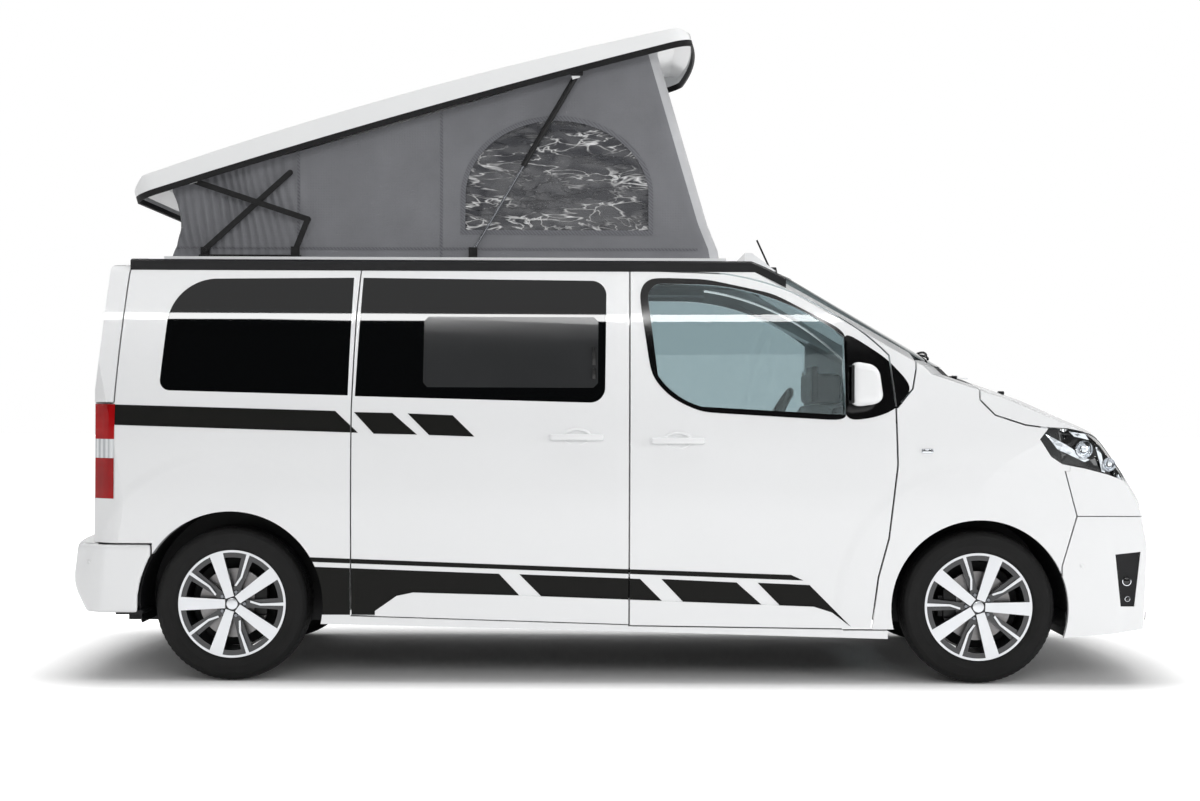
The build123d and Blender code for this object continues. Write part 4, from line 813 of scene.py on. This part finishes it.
class VAN_OT_wheel_fittings(bpy.types.Operator):
    """Wheel bolts, plain centre caps, dust shields and brake calipers"""

    bl_idname = "van.wheel_fittings"
    bl_label = "Wheel fittings"

    def execute(self, context):
        for side, sign in SIDES:
            for axle, x, out in AXLES:
                spin = -2.0 if axle == "front" else 36.0
                face = sign * (out + 0.092)
                bm = lathe([(0.0, 0.0055), (0.018, 0.005), (0.026, 0.0035), (0.029, 0.001), (0.0295, -0.006)], 40,
                           (x, face, AXLE_Z), sign=sign)
                for k in range(5):
                    a = math.radians(spin + 36.0 + 72.0 * k)
                    spot = (x + BOLT_CIRCLE * math.cos(a), sign * (out + 0.084), AXLE_Z + BOLT_CIRCLE * math.sin(a))
                    join(bm, lathe([(0.0, 0.012), (0.007, 0.012), (0.009, 0.010), (0.0095, 0.002), (0.0135, 0.001),
                                    (0.014, -0.003)], 12, spot, sign=sign), 1)
                piece("wheel_cap_%s_%s" % (axle, side), bm, "wheel_%s_%s" % (axle, side), "alloy", "rod")
                shield = lathe([(0.0, -0.036), (0.188, -0.036), (0.194, -0.030), (0.194, -0.028), (0.186, -0.033),
                                (0.0, -0.033)], 48, (x, sign * out, AXLE_Z), sign=sign)
                carrier = "hub_" + side if axle == "front" else "body"
                piece("dust_shield_%s_%s" % (axle, side), shield, carrier, "chassis")
                back = -1 if axle == "front" else 1
                grip = soft_box(CALIPER, (x + back * 0.140, sign * (out + 0.026), CALIPER_Z), 0.012, 3)
                for v in grip.verts:
                    v.co.x -= back * CALIPER_BEND * (v.co.z - CALIPER_Z) ** 2
                piece("caliper_%s_%s" % (axle, side), grip, carrier, "coated")
        return {"FINISHED"}


MIRROR_SIZE = (0.136, 0.126, 0.194)
MIRROR_AT = (1.088, 1.034, 1.312)


class VAN_OT_mirrors(bpy.types.Operator):
    """Door mirrors: painted cap, black foot and bezel, and glass"""

    bl_idname = "van.mirrors"
    bl_label = "Door mirrors"

    def execute(self, context):
        long, _, tall = MIRROR_SIZE
        mid_x, mid_y, mid_z = MIRROR_AT
        rear, foot = mid_x - long / 2.0, mid_z - tall / 2.0
        for side, sign in SIDES:
            bm = soft_box(MIRROR_SIZE, (mid_x, sign * mid_y, mid_z), 0.046, 7)
            for v in bm.verts:
                forward = (v.co.x - rear) / long
                high = (v.co.z - foot) / tall
                v.co.z = mid_z + (v.co.z - mid_z) * (1.0 - 0.20 * forward * forward)
                v.co.x = rear + (v.co.x - rear) * (1.0 - 0.34 * max(0.0, high - 0.35) ** 1.5)
                v.co.y = sign * mid_y + (v.co.y - sign * mid_y) * (1.0 - 0.14 * forward * forward)
            join(bm, soft_box((0.076, 0.075, 0.040), (1.090, sign * 0.962, 1.255), 0.012, 4), 1)
            join(bm, soft_box((0.012, 0.104, 0.165), (1.0235, sign * 1.0365, 1.312), 0.005, 3), 1)
            join(bm, soft_box((0.006, 0.094, 0.150), (1.0205, sign * 1.0365, 1.314), 0.0028, 3), 2)
            made = piece("door_mirror_" + side, bm, "door_" + side, "paint", "plastic", "rod", smooth=60.0)
            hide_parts("mirror_" + side)
        return {"FINISHED"}


HEADLAMP_FINS = (
    ((1885, 1100), (1960, 1060), (2080, 985), (2060, 975), (1940, 1030)),
    ((1990, 1105), (2060, 1095), (2075, 1070), (2010, 1085)),
    ((2165, 1010), (2190, 1000), (2235, 900), (2215, 905)),
    ((2105, 1040), (2125, 1035), (2150, 930), (2135, 935)),
)
HEADLAMP_BOWLS = ((2.055, 1.030, 0.038), (2.165, 0.965, 0.030))  # x, z and radius
TAIL_BANDS = ((800, 977, 0), (977, 1060, 1), (1060, 1213, 0))  # foot and head in millimetres, and 1 where clear
TAIL_WRAP = (-2222, -2186)  # ends of the lamp's strip on the body side, in millimetres


class VAN_OT_lamps(bpy.types.Operator):
    """Headlamps with reflectors behind clear lenses, and banded tail lamps"""

    bl_idname = "van.lamps"
    bl_label = "Lamps"

    def execute(self, context):
        lens = bmesh.new()
        back = bmesh.new()
        for _, sign in SIDES:
            join(lens, lamp_skin(sign))
            part = lamp_skin(sign)
            lift(part, -0.034)
            join(back, part)
            for outline in HEADLAMP_FINS:
                part = trim(lamp_skin(sign), outline)
                lift(part, -0.022)
                join(back, part, 1)
            for x, z, r in HEADLAMP_BOWLS:
                spot, normal = side_y("headlamps", x, z, sign)
                bowl = lathe([(r, 0.012), (r * 0.96, 0.011), (r * 0.86, -0.004), (r * 0.80, -0.006), (r * 0.66, 0.003),
                              (r * 0.34, 0.010), (0.0, 0.012)], 40, (0, 0, 0), axis="Z")
                join(back, stand(bowl, spot - normal * 0.024, normal), 1)
        made = piece("headlamp_lens", lens, "body", "lens", smooth=60.0)
        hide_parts("headlamps")
        piece("headlamp_bowls", back, "body", "gloss", "reflector", smooth=60.0)
        bm = bmesh.new()
        bm.from_mesh(NODES["tail_lamps"].data)
        foot, head = (z / 1000.0 for z in TAIL_BANDS[1][:2])
        for z in (foot, head):
            bmesh.ops.bisect_plane(bm, geom=bm.verts[:] + bm.edges[:] + bm.faces[:], dist=1e-6, plane_co=(0, 0, z),
                                   plane_no=(0, 0, 1))
        for f in bm.faces:
            f.material_index = 1 if foot < f.calc_center_median().z < head else 0
        rear, fore = TAIL_WRAP
        for _, sign in SIDES:
            for low, high, index in TAIL_BANDS:
                part = trim(skin("body_sides", sign), ((rear, high), (fore, high), (fore, low), (rear, low)))
                lift(part, 0.003)
                join(bm, part, index)
        made = piece("tail_lamp_lens", bm, "body", "red", "white_lens")
        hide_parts("tail_lamps")
        return {"FINISHED"}


HANDLES = (("body", -166, 1077), ("door", 276, 1063))  # x and z in millimetres
HANDLE_SIZE = (0.236, 0.020, 0.034)


class VAN_OT_handles(bpy.types.Operator):
    """Pull handles of the front and sliding doors, each over an oval cup"""

    bl_idname = "van.handles"
    bl_label = "Door handles"

    def execute(self, context):
        for side, sign in SIDES:
            for carrier, x, z in HANDLES:
                node = "sliding_doors" if carrier == "body" else "front_door_" + side
                rider = carrier if carrier == "body" else "door_" + side
                spot, _ = side_y(node, x / 1000.0, z / 1000.0, sign)
                bm = soft_box(HANDLE_SIZE, (0, 0, 0), 0.0095, 5)
                for v in bm.verts:
                    run = abs(v.co.x) / (HANDLE_SIZE[0] / 2.0)
                    v.co.y += sign * (0.026 - 0.012 * run ** 3)
                    v.co.z *= 1.0 - 0.25 * run ** 4
                for end in (-0.085, 0.085):
                    join(bm, soft_box((0.05, 0.03, 0.026), (end, sign * 0.008, 0), 0.007, 3))
                ring = lathe([(0.030, -0.002), (0.036, 0.0035), (0.041, 0.0035), (0.047, -0.002)], 48, (0, 0, 0),
                             sign=sign)
                bmesh.ops.scale(ring, vec=(1.45, 1.0, 0.86), verts=ring.verts)
                join(bm, ring)
                bmesh.ops.translate(bm, vec=spot, verts=bm.verts)
                piece("handle_%s_%s" % (rider, side), bm, rider, "paint", smooth=60.0)
        return {"FINISHED"}


def pad(size, centre, tilt, channels=()):
    """Stuffed cushion: crowned, sides pulled in between its corners, with sewn channels across its face."""
    bm = bmesh.new()
    bmesh.ops.create_cube(bm, size=2.0)
    bmesh.ops.subdivide_edges(bm, edges=bm.edges[:], cuts=17, use_grid_fill=True)
    for v in bm.verts:
        u, w, s = v.co
        crown = ((1.0 - u ** 4) * (1.0 - w ** 4)) ** 0.5
        thick = s * (0.58 + 0.42 * crown)
        for axis, at in channels:
            thick -= 0.20 * max(0.0, s) * math.exp(-(((u, w)[axis] - at) / 0.055) ** 2)
        v.co = (u * (1.0 - 0.05 * (1.0 - w * w)) * size[0] / 2.0, w * (1.0 - 0.03 * (1.0 - u * u)) * size[1] / 2.0,
                thick * size[2] / 2.0)
    for _ in range(2):
        bmesh.ops.smooth_vert(bm, verts=bm.verts, factor=0.5, use_axis_x=True, use_axis_y=True, use_axis_z=True)
    bmesh.ops.rotate(bm, cent=(0, 0, 0), verts=bm.verts, matrix=Matrix.Rotation(math.radians(tilt), 3, "Y"))
    bmesh.ops.translate(bm, vec=centre, verts=bm.verts)
    return bm


class VAN_OT_seats(bpy.types.Operator):
    """Stuff the front seats and the rear bench, and set them on their bases"""

    bl_idname = "van.seats"
    bl_label = "Seats"

    def execute(self, context):
        front, bases = bmesh.new(), bmesh.new()
        for _, sign in SIDES:
            y = sign * 0.44
            join(front, pad((0.50, 0.46, 0.115), (0.385, y, 0.605), -5.7, ((1, -0.62), (1, 0.62), (0, 0.1))))
            join(front, pad((0.44, 0.46, 0.110), (0.137, y, 0.860), 77.6, ((1, -0.62), (1, 0.62), (0, -0.2))))
            join(front, pad((0.115, 0.27, 0.085), (0.082, y, 1.155), 77.6))
            join(bases, soft_box((0.38, 0.44, 0.105), (0.355, y, 0.494), 0.015, 3))
        made = piece("front_seat_pads", front, "body", "cloth", smooth=60.0)
        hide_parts("front_seats")
        bench = pad((0.50, 1.10, 0.12), (-0.875, 0.0, 0.602), -3.4, ((1, -0.34), (1, 0.34)))
        join(bench, pad((0.51, 1.10, 0.105), (-1.222, 0.0, 0.915), 77.6, ((1, -0.34), (1, 0.34))))
        made = piece("rear_bench_pads", bench, "body", "cloth", smooth=60.0)
        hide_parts("rear_bench")
        join(bases, soft_box((0.56, 1.06, 0.105), (-0.93, 0.0, 0.494), 0.015, 3))
        piece("seat_bases", bases, "body", "plastic")
        return {"FINISHED"}


SLIDING_PANE = ((-841, 1585), (-822, 1604), (-94, 1604), (-74, 1585), (-74, 1312), (-94, 1292), (-822, 1292),
                (-841, 1312))


class VAN_OT_panes(bpy.types.Operator):
    """Sliding panes in the middle windows, each with its latch"""

    bl_idname = "van.panes"
    bl_label = "Sliding panes"

    def execute(self, context):
        for side, sign in SIDES:
            bm = trim(skin("side_windows", sign), SLIDING_PANE)
            lift(bm, 0.002)
            for z, tall in ((1.43, 0.085), (1.355, 0.05)):
                spot, _ = side_y("side_windows", -0.092, z, sign)
                join(bm, soft_box((0.016, 0.012, tall), spot + Vector((0.0, sign * 0.004, 0.0)), 0.004, 3), 1)
            piece("sliding_pane_" + side, bm, "body", "pane", "gloss")
        return {"FINISHED"}


def tube(points, radius, steps=10):
    """Round bar through points."""
    bm = bmesh.new()
    rings = []
    for k, p in enumerate(points):
        way = (Vector(points[min(k + 1, len(points) - 1)]) - Vector(points[max(k - 1, 0)])).normalized()
        turn = way.to_track_quat("Z", "Y").to_matrix()
        rings.append([bm.verts.new(Vector(p) + turn @ Vector((radius * math.cos(2.0 * math.pi * s / steps),
                                                              radius * math.sin(2.0 * math.pi * s / steps), 0.0)))
                      for s in range(steps)])
    for a, b in zip(rings, rings[1:]):
        for s in range(steps):
            bm.faces.new((a[s], a[(s + 1) % steps], b[(s + 1) % steps], b[s]))
    bm.faces.new(rings[0][::-1])
    bm.faces.new(rings[-1])
    return bm


class VAN_OT_wipers(bpy.types.Operator):
    """Wiper arms and blades at the foot of the windscreen, and washer jets on the bonnet"""

    bl_idname = "van.wipers"
    bl_label = "Wipers"

    def execute(self, context):
        bm = bmesh.new()
        for y_from, y_to in ((-0.60, 0.02), (0.06, 0.60)):
            blade, arm = [], []
            for k in range(13):
                y = y_from + (y_to - y_from) * k / 12.0
                spot, normal = hit("windscreen", (1.475 - 0.16 * y * y - 0.02 * k / 12.0, y, ABOVE), (0, 0, -1))
                blade.append(spot + normal * 0.009)
                if k >= 5:
                    arm.append(spot + normal * (0.016 + 0.010 * math.sin(math.pi * (k - 5) / 7.0)))
            join(bm, tube(blade, 0.006))
            spot, normal = hit("scuttle_panel", (1.575 - 0.12 * y_to * y_to, y_to, ABOVE), (0, 0, -1))
            arm.append(spot + normal * 0.012)
            join(bm, tube(arm, 0.0055))
            join(bm, lathe([(0.0, 0.018), (0.012, 0.016), (0.017, 0.008), (0.019, -0.004)], 20, spot, axis="Z"))
        piece("wipers", bm, "body", "plastic", smooth=50.0)
        jets = bmesh.new()
        for _, sign in SIDES:
            spot, normal = hit("bonnet", (1.80, sign * 0.36, ABOVE), (0, 0, -1))
            join(jets, soft_box((0.030, 0.022, 0.018), spot + normal * 0.004, 0.006, 3))
        piece("washer_jets", jets, "bonnet", "plastic", smooth=50.0)
        return {"FINISHED"}


PLATE = (0.520, 0.110)
PLATE_CARRIER = (0.540, 0.126)


class VAN_OT_fittings(bpy.types.Operator):
    """Small fittings of the body: repeaters, sensors, fog lamps, lower lip, splash plates and the front plate"""

    bl_idname = "van.fittings"
    bl_label = "Body fittings"

    def execute(self, context):
        small, lens = bmesh.new(), bmesh.new()
        for _, sign in SIDES:
            spot, normal = side_y("front_wings", 1.366, 1.022, sign)
            join(lens, soft_box((0.052, 0.012, 0.020), spot + normal * 0.003, 0.0056, 4))
            join(lens, soft_box((0.034, 0.008, 0.004), spot + normal * 0.008, 0.0015, 2), 1)
            for node, x, z in (("front_bumper", 2.045, 0.522), ("rear_bumper", -2.302, 0.521)):
                spot, normal = side_y(node, x, z, sign)
                knob = lathe([(0.0, 0.0022), (0.008, 0.0020), (0.0095, 0.0), (0.0105, 0.0014), (0.012, -0.001)], 24,
                             (0, 0, 0), axis="Z")
                join(small, stand(knob, spot, normal), 2)
            for x, z, r in ((2.243, 0.455, 0.020), (2.246, 0.378, 0.012)):
                spot, normal = side_y("front_grilles", x, z, sign)
                for profile, index in (([(r, -0.001), (r, 0.006), (r * 0.84, 0.007), (r * 0.72, 0.003)], 0),
                                       ([(r * 0.72, 0.003), (r * 0.4, 0.006), (0.0, 0.007)], 1)):
                    join(lens, lathe(profile, 32, spot, sign=sign), index)
            join(small, soft_box((0.120, 0.20, 0.022), (-2.130, sign * 0.80, 0.300), 0.006, 3))
            for x, long, y, low, high in ((-1.735, 0.93, 0.594, 0.235, 0.425), (1.600, 0.80, 0.466, 0.225, 0.560)):
                join(small, soft_box((long, 0.008, high - low), (x, sign * y, (low + high) / 2.0), 0.003, 2))
            join(small, soft_box((0.012, 0.300, 0.110), (1.985, sign * 0.760, 0.262), 0.004, 2))
        lip = trim(skin("front_bumper", 1, 0, 2.0), ((2380, 300), (2600, 300), (2600, 190), (2330, 190)))
        lift(lip, 0.004)
        join(small, lip)
        spot, _ = hit("front_bumper", (OUTSIDE, 0.0, 0.665), (-1, 0, 0))
        join(small, soft_box((0.022, *PLATE_CARRIER), spot + Vector((-0.006, 0, 0)), 0.004, 3))
        join(small, soft_box((0.003, *PLATE), spot + Vector((0.006, 0, 0)), 0.0012, 2), 1)
        piece("body_fittings", small, "body", "plastic", "plate", "paint", smooth=40.0)
        piece("side_repeaters", lens, "body", "reflector", "gloss", smooth=40.0)
        return {"FINISHED"}


class VAN_OT_tailgate_trim(bpy.types.Operator):
    """Blank plate, grip, brake light, and wiper of the tailgate"""

    bl_idname = "van.tailgate_trim"
    bl_label = "Tailgate trim"

    def execute(self, context):
        bm = bmesh.new()
        for size, z, out, index in (
            ((0.016, *PLATE_CARRIER), 0.905, 0.002, 0), ((0.003, *PLATE), 0.905, 0.0115, 1),
            ((0.040, 0.660, 0.050), 1.015, 0.008, 0), ((0.014, 0.320, 0.026), 1.795, 0.004, 2),
            ((0.030, 0.060, 0.060), 1.235, 0.010, 0),
        ):
            spot, normal = hit("tailgate", (BEHIND, 0.0, z), (1, 0, 0))
            part = soft_box(size, (0, 0, 0), min(size) * 0.32, 3)
            tip = math.atan2(normal.z, -normal.x)
            bmesh.ops.rotate(part, cent=(0, 0, 0), verts=part.verts, matrix=Matrix.Rotation(tip, 3, "Y"))
            bmesh.ops.translate(part, vec=spot + normal * out, verts=part.verts)
            join(bm, part, index)
        wipe = []
        for k in range(11):
            y = 0.02 + 0.40 * k / 10.0
            spot, normal = hit("tailgate_glass", (BEHIND, y, 1.285 + 0.045 * k / 10.0), (1, 0, 0))
            wipe.append(spot + normal * 0.012)
        join(bm, tube(wipe, 0.007))
        piece("tailgate_trim", bm, "tailgate", "plastic", "plate", "red", smooth=40.0)
        return {"FINISHED"}


class VAN_OT_lift_fittings(bpy.types.Operator):
    """Rails under the scissor arms, and caps at the top of the gas struts"""

    bl_idname = "van.lift_fittings"
    bl_label = "Lift fittings"

    def execute(self, context):
        rail, caps = bmesh.new(), bmesh.new()
        for _, sign in SIDES:
            join(rail, soft_box((0.46, 0.030, 0.010), (-1.648, sign * 0.645, 1.8845), 0.003, 2))
            join(caps, soft_box((0.058, 0.012, 0.034), (-0.176, sign * 0.6685, 2.717), 0.005, 3))
        piece("lift_base_rails", rail, "body", "coated")
        piece("strut_caps", caps, "pop_roof", "coated")
        return {"FINISHED"}


class VAN_OT_dash(bpy.types.Operator):
    """Instrument binnacle and screen on the dashboard"""

    bl_idname = "van.dash"
    bl_label = "Dash fittings"

    def execute(self, context):
        dash = soft_box((0.170, 0.360, 0.150), (1.045, 0.400, 1.300), 0.030, 4)
        join(dash, soft_box((0.030, 0.270, 0.170), (0.960, 0.0, 1.320), 0.010, 3))
        piece("dash_fittings", dash, "body", "plastic")
        return {"FINISHED"}


class VAN_OT_rear_bumper(bpy.types.Operator):
    """Rear bumper with the soft corners of a moulding"""

    bl_idname = "van.rear_bumper"
    bl_label = "Rear bumper"

    def execute(self, context):
        bm = faces_of("rear_bumper", lambda f: True)
        made = piece("rear_bumper_moulding", bm, "body", "paint", smooth=180.0)
        grid = made.modifiers.new("grid", "REMESH")
        grid.mode, grid.voxel_size = "VOXEL", 0.0075
        soft = made.modifiers.new("soft", "SMOOTH")
        soft.factor, soft.iterations = 0.5, 30
        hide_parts("rear_bumper")
        return {"FINISHED"}


class VAN_OT_stage(bpy.types.Operator):
    """Pale floor, soft studio light and the camera of the photograph"""

    bl_idname = "van.stage"
    bl_label = "Studio"

    def floor(self, scene):
        # Floor paint, rolled: plain white, glowing as the bright studio beyond a hand's width round the van, and left
        # darker nearer the van as painted shade over its real shadow.
        made = bpy.data.materials.new("floor_paint_rolled")
        made.use_nodes = True
        tree = made.node_tree
        shader = tree.nodes["Principled BSDF"]
        seen = 0.0
        for ray in ("Is Camera Ray", "Is Glossy Ray", "Is Transmission Ray"):
            seen = put(tree, "Math", {0: put(tree, "LightPath", out=ray), 1: seen}, operation="MAXIMUM")
        far = put(tree, "VectorMath", {0: put(tree, "TexCoord", out="Object")}, operation="ABSOLUTE")
        far = put(tree, "VectorMath", {0: far, 1: (2.15, 0.72, 9.0)}, operation="SUBTRACT")
        far = put(tree, "VectorMath", {0: far, 1: (0.0, 0.0, 0.0)}, operation="MAXIMUM")
        far = put(tree, "VectorMath", {0: far}, "Value", operation="LENGTH")
        # Painted shade: the glow fades out towards the van's footprint, darkening the floor round the van over its real
        # shadow.
        fade = put(tree, "MapRange", {"Value": far, "From Min": 0.05, "From Max": 0.95, "To Min": 0.0,
                                      "To Max": 1.0}, interpolation_type="SMOOTHSTEP")
        glow = put(tree, "Math", {0: seen, 1: fade}, operation="MULTIPLY")
        tree.links.new(glow, shader.inputs["Emission Strength"])
        for socket, value in (("Base Color", srgb("F0F0F0")), ("Roughness", 0.9), ("Specular IOR Level", 0.1),
                              ("Emission Color", srgb("FFFFFF"))):
            shader.inputs[socket].default_value = value
        bm = bmesh.new()
        bmesh.ops.create_grid(bm, x_segments=8, y_segments=8, size=60.0)
        mesh = bpy.data.meshes.new("floor")
        bm.to_mesh(mesh)
        bm.free()
        mesh.materials.append(made)
        floor = bpy.data.objects.new("floor", mesh)
        scene.collection.objects.link(floor)

    def room(self, scene):
        # What gloss shows: a pale foot, dark walls up to a thin bright line, and a pale ceiling above it.
        world = bpy.data.worlds.new("studio")
        world.use_nodes = True
        scene.world = world
        tree = world.node_tree
        way = put(tree, "TexCoord", out="Generated")
        rise = put(tree, "SeparateXYZ", {"Vector": way}, "Z")
        run = put(tree, "Math", {0: put(tree, "SeparateXYZ", {"Vector": way}, "Y")}, operation="ABSOLUTE")
        slope = put(tree, "Math", {0: rise, 1: run}, operation="DIVIDE")
        ceiling = put(tree, "MapRange", {"Value": slope, "From Min": 0.70, "From Max": 0.71, "To Min": 0.03,
                                         "To Max": 0.8})
        skirting = put(tree, "MapRange", {"Value": slope, "From Min": 0.10, "From Max": 0.18, "To Min": 0.8,
                                          "To Max": 0.0})
        ceiling = put(tree, "Math", {0: ceiling, 1: skirting}, operation="MAXIMUM")
        above = put(tree, "Math", {0: slope, 1: 0.706}, operation="GREATER_THAN")
        below = put(tree, "Math", {0: slope, 1: 0.752}, operation="LESS_THAN")
        line = put(tree, "Math", {0: above, 1: below}, operation="MULTIPLY")
        room = put(tree, "Math", {0: line, 1: 20.0, 2: ceiling}, operation="MULTIPLY_ADD")
        glossy = put(tree, "LightPath", out="Is Glossy Ray")
        level = put(tree, "Mix", {0: glossy, 2: 0.42, 3: room})
        seen = put(tree, "Math", {0: put(tree, "LightPath", out="Is Camera Ray"),
                                  1: put(tree, "LightPath", out="Is Transmission Ray")}, operation="MAXIMUM")
        level = put(tree, "Mix", {0: seen, 2: level, 3: 1.0})
        back = tree.nodes["Background"]
        back.inputs["Color"].default_value = srgb("FFFFFF")
        tree.links.new(level, back.inputs["Strength"])

    def lights(self, scene):
        lamps = (
            ("top_softbox", (0.0, 0.0, 7.0), (0.0, 0.0, 0.0), 9.0, 5.0, 250.0),
            ("side_softbox", (1.0, -11.5, 5.2), (0.0, 0.0, 1.2), 11.0, 3.0, 380.0),
            ("front_fill", (8.0, -4.0, 2.6), (0.3, 0.0, 1.8), 3.0, 3.0, 150.0),
        )
        for name, at, look, wide, high, power in lamps:
            light = bpy.data.lights.new(name, "AREA")
            light.shape = "RECTANGLE"
            light.size, light.size_y = wide, high
            light.energy = power
            lamp = bpy.data.objects.new(name, light)
            lamp.location = at
            lamp.rotation_euler = (Vector(look) - Vector(at)).to_track_quat("-Z", "Y").to_euler()
            lamp.visible_glossy = False
            scene.collection.objects.link(lamp)

    def camera(self, scene):
        lens = bpy.data.cameras.new("photo_view")
        lens.lens, lens.sensor_width = 60.8, 36.0
        lens.clip_end = 200.0
        camera = bpy.data.objects.new("photo_view", lens)
        camera.location = (-0.065, -9.8, 1.237)
        camera.rotation_euler = (math.radians(90.0), math.radians(-0.23), 0.0)
        scene.collection.objects.link(camera)
        scene.camera = camera

    def execute(self, context):
        for part in (self.floor, self.room, self.lights, self.camera):
            part(context.scene)
        context.scene.view_settings.view_transform = "Standard"
        return {"FINISHED"}


OPERATORS = (
    VAN_OT_finishes, VAN_OT_stripes, VAN_OT_door_frames, VAN_OT_tent, VAN_OT_tyres, VAN_OT_wheel_fittings,
    VAN_OT_mirrors, VAN_OT_lamps, VAN_OT_handles, VAN_OT_seats, VAN_OT_panes, VAN_OT_wipers, VAN_OT_fittings,
    VAN_OT_tailgate_trim, VAN_OT_lift_fittings, VAN_OT_dash, VAN_OT_rear_bumper, VAN_OT_stage,
)


class VAN_PT_sidebar(bpy.types.Panel):
    """Lists the van's sizes, colours and steps"""

    bl_idname = "VAN_PT_sidebar"
    bl_label = "Camper van"
    bl_space_type = "VIEW_3D"
    bl_region_type = "UI"
    bl_category = "Van"

    def draw(self, context):
        for group in (context.scene.van_colours, context.scene.van_sizes):
            for key in group.bl_rna.properties.keys():
                if key not in ("rna_type", "name"):
                    self.layout.prop(group, key)
        for operator in OPERATORS:
            self.layout.operator(operator.bl_idname)


CLASSES = (VanColours, VanSizes) + OPERATORS + (VAN_PT_sidebar,)


def register():
    for item in CLASSES:
        bpy.utils.register_class(item)
    bpy.types.Scene.van_colours = PointerProperty(type=VanColours)
    bpy.types.Scene.van_sizes = PointerProperty(type=VanSizes)


def unregister():
    del bpy.types.Scene.van_sizes
    del bpy.types.Scene.van_colours
    for item in reversed(CLASSES):
        bpy.utils.unregister_class(item)


def main():
    register()
    for operator in OPERATORS:
        group, name = operator.bl_idname.split(".")
        getattr(getattr(bpy.ops, group), name)()


if __name__ == "__main__":
    main()
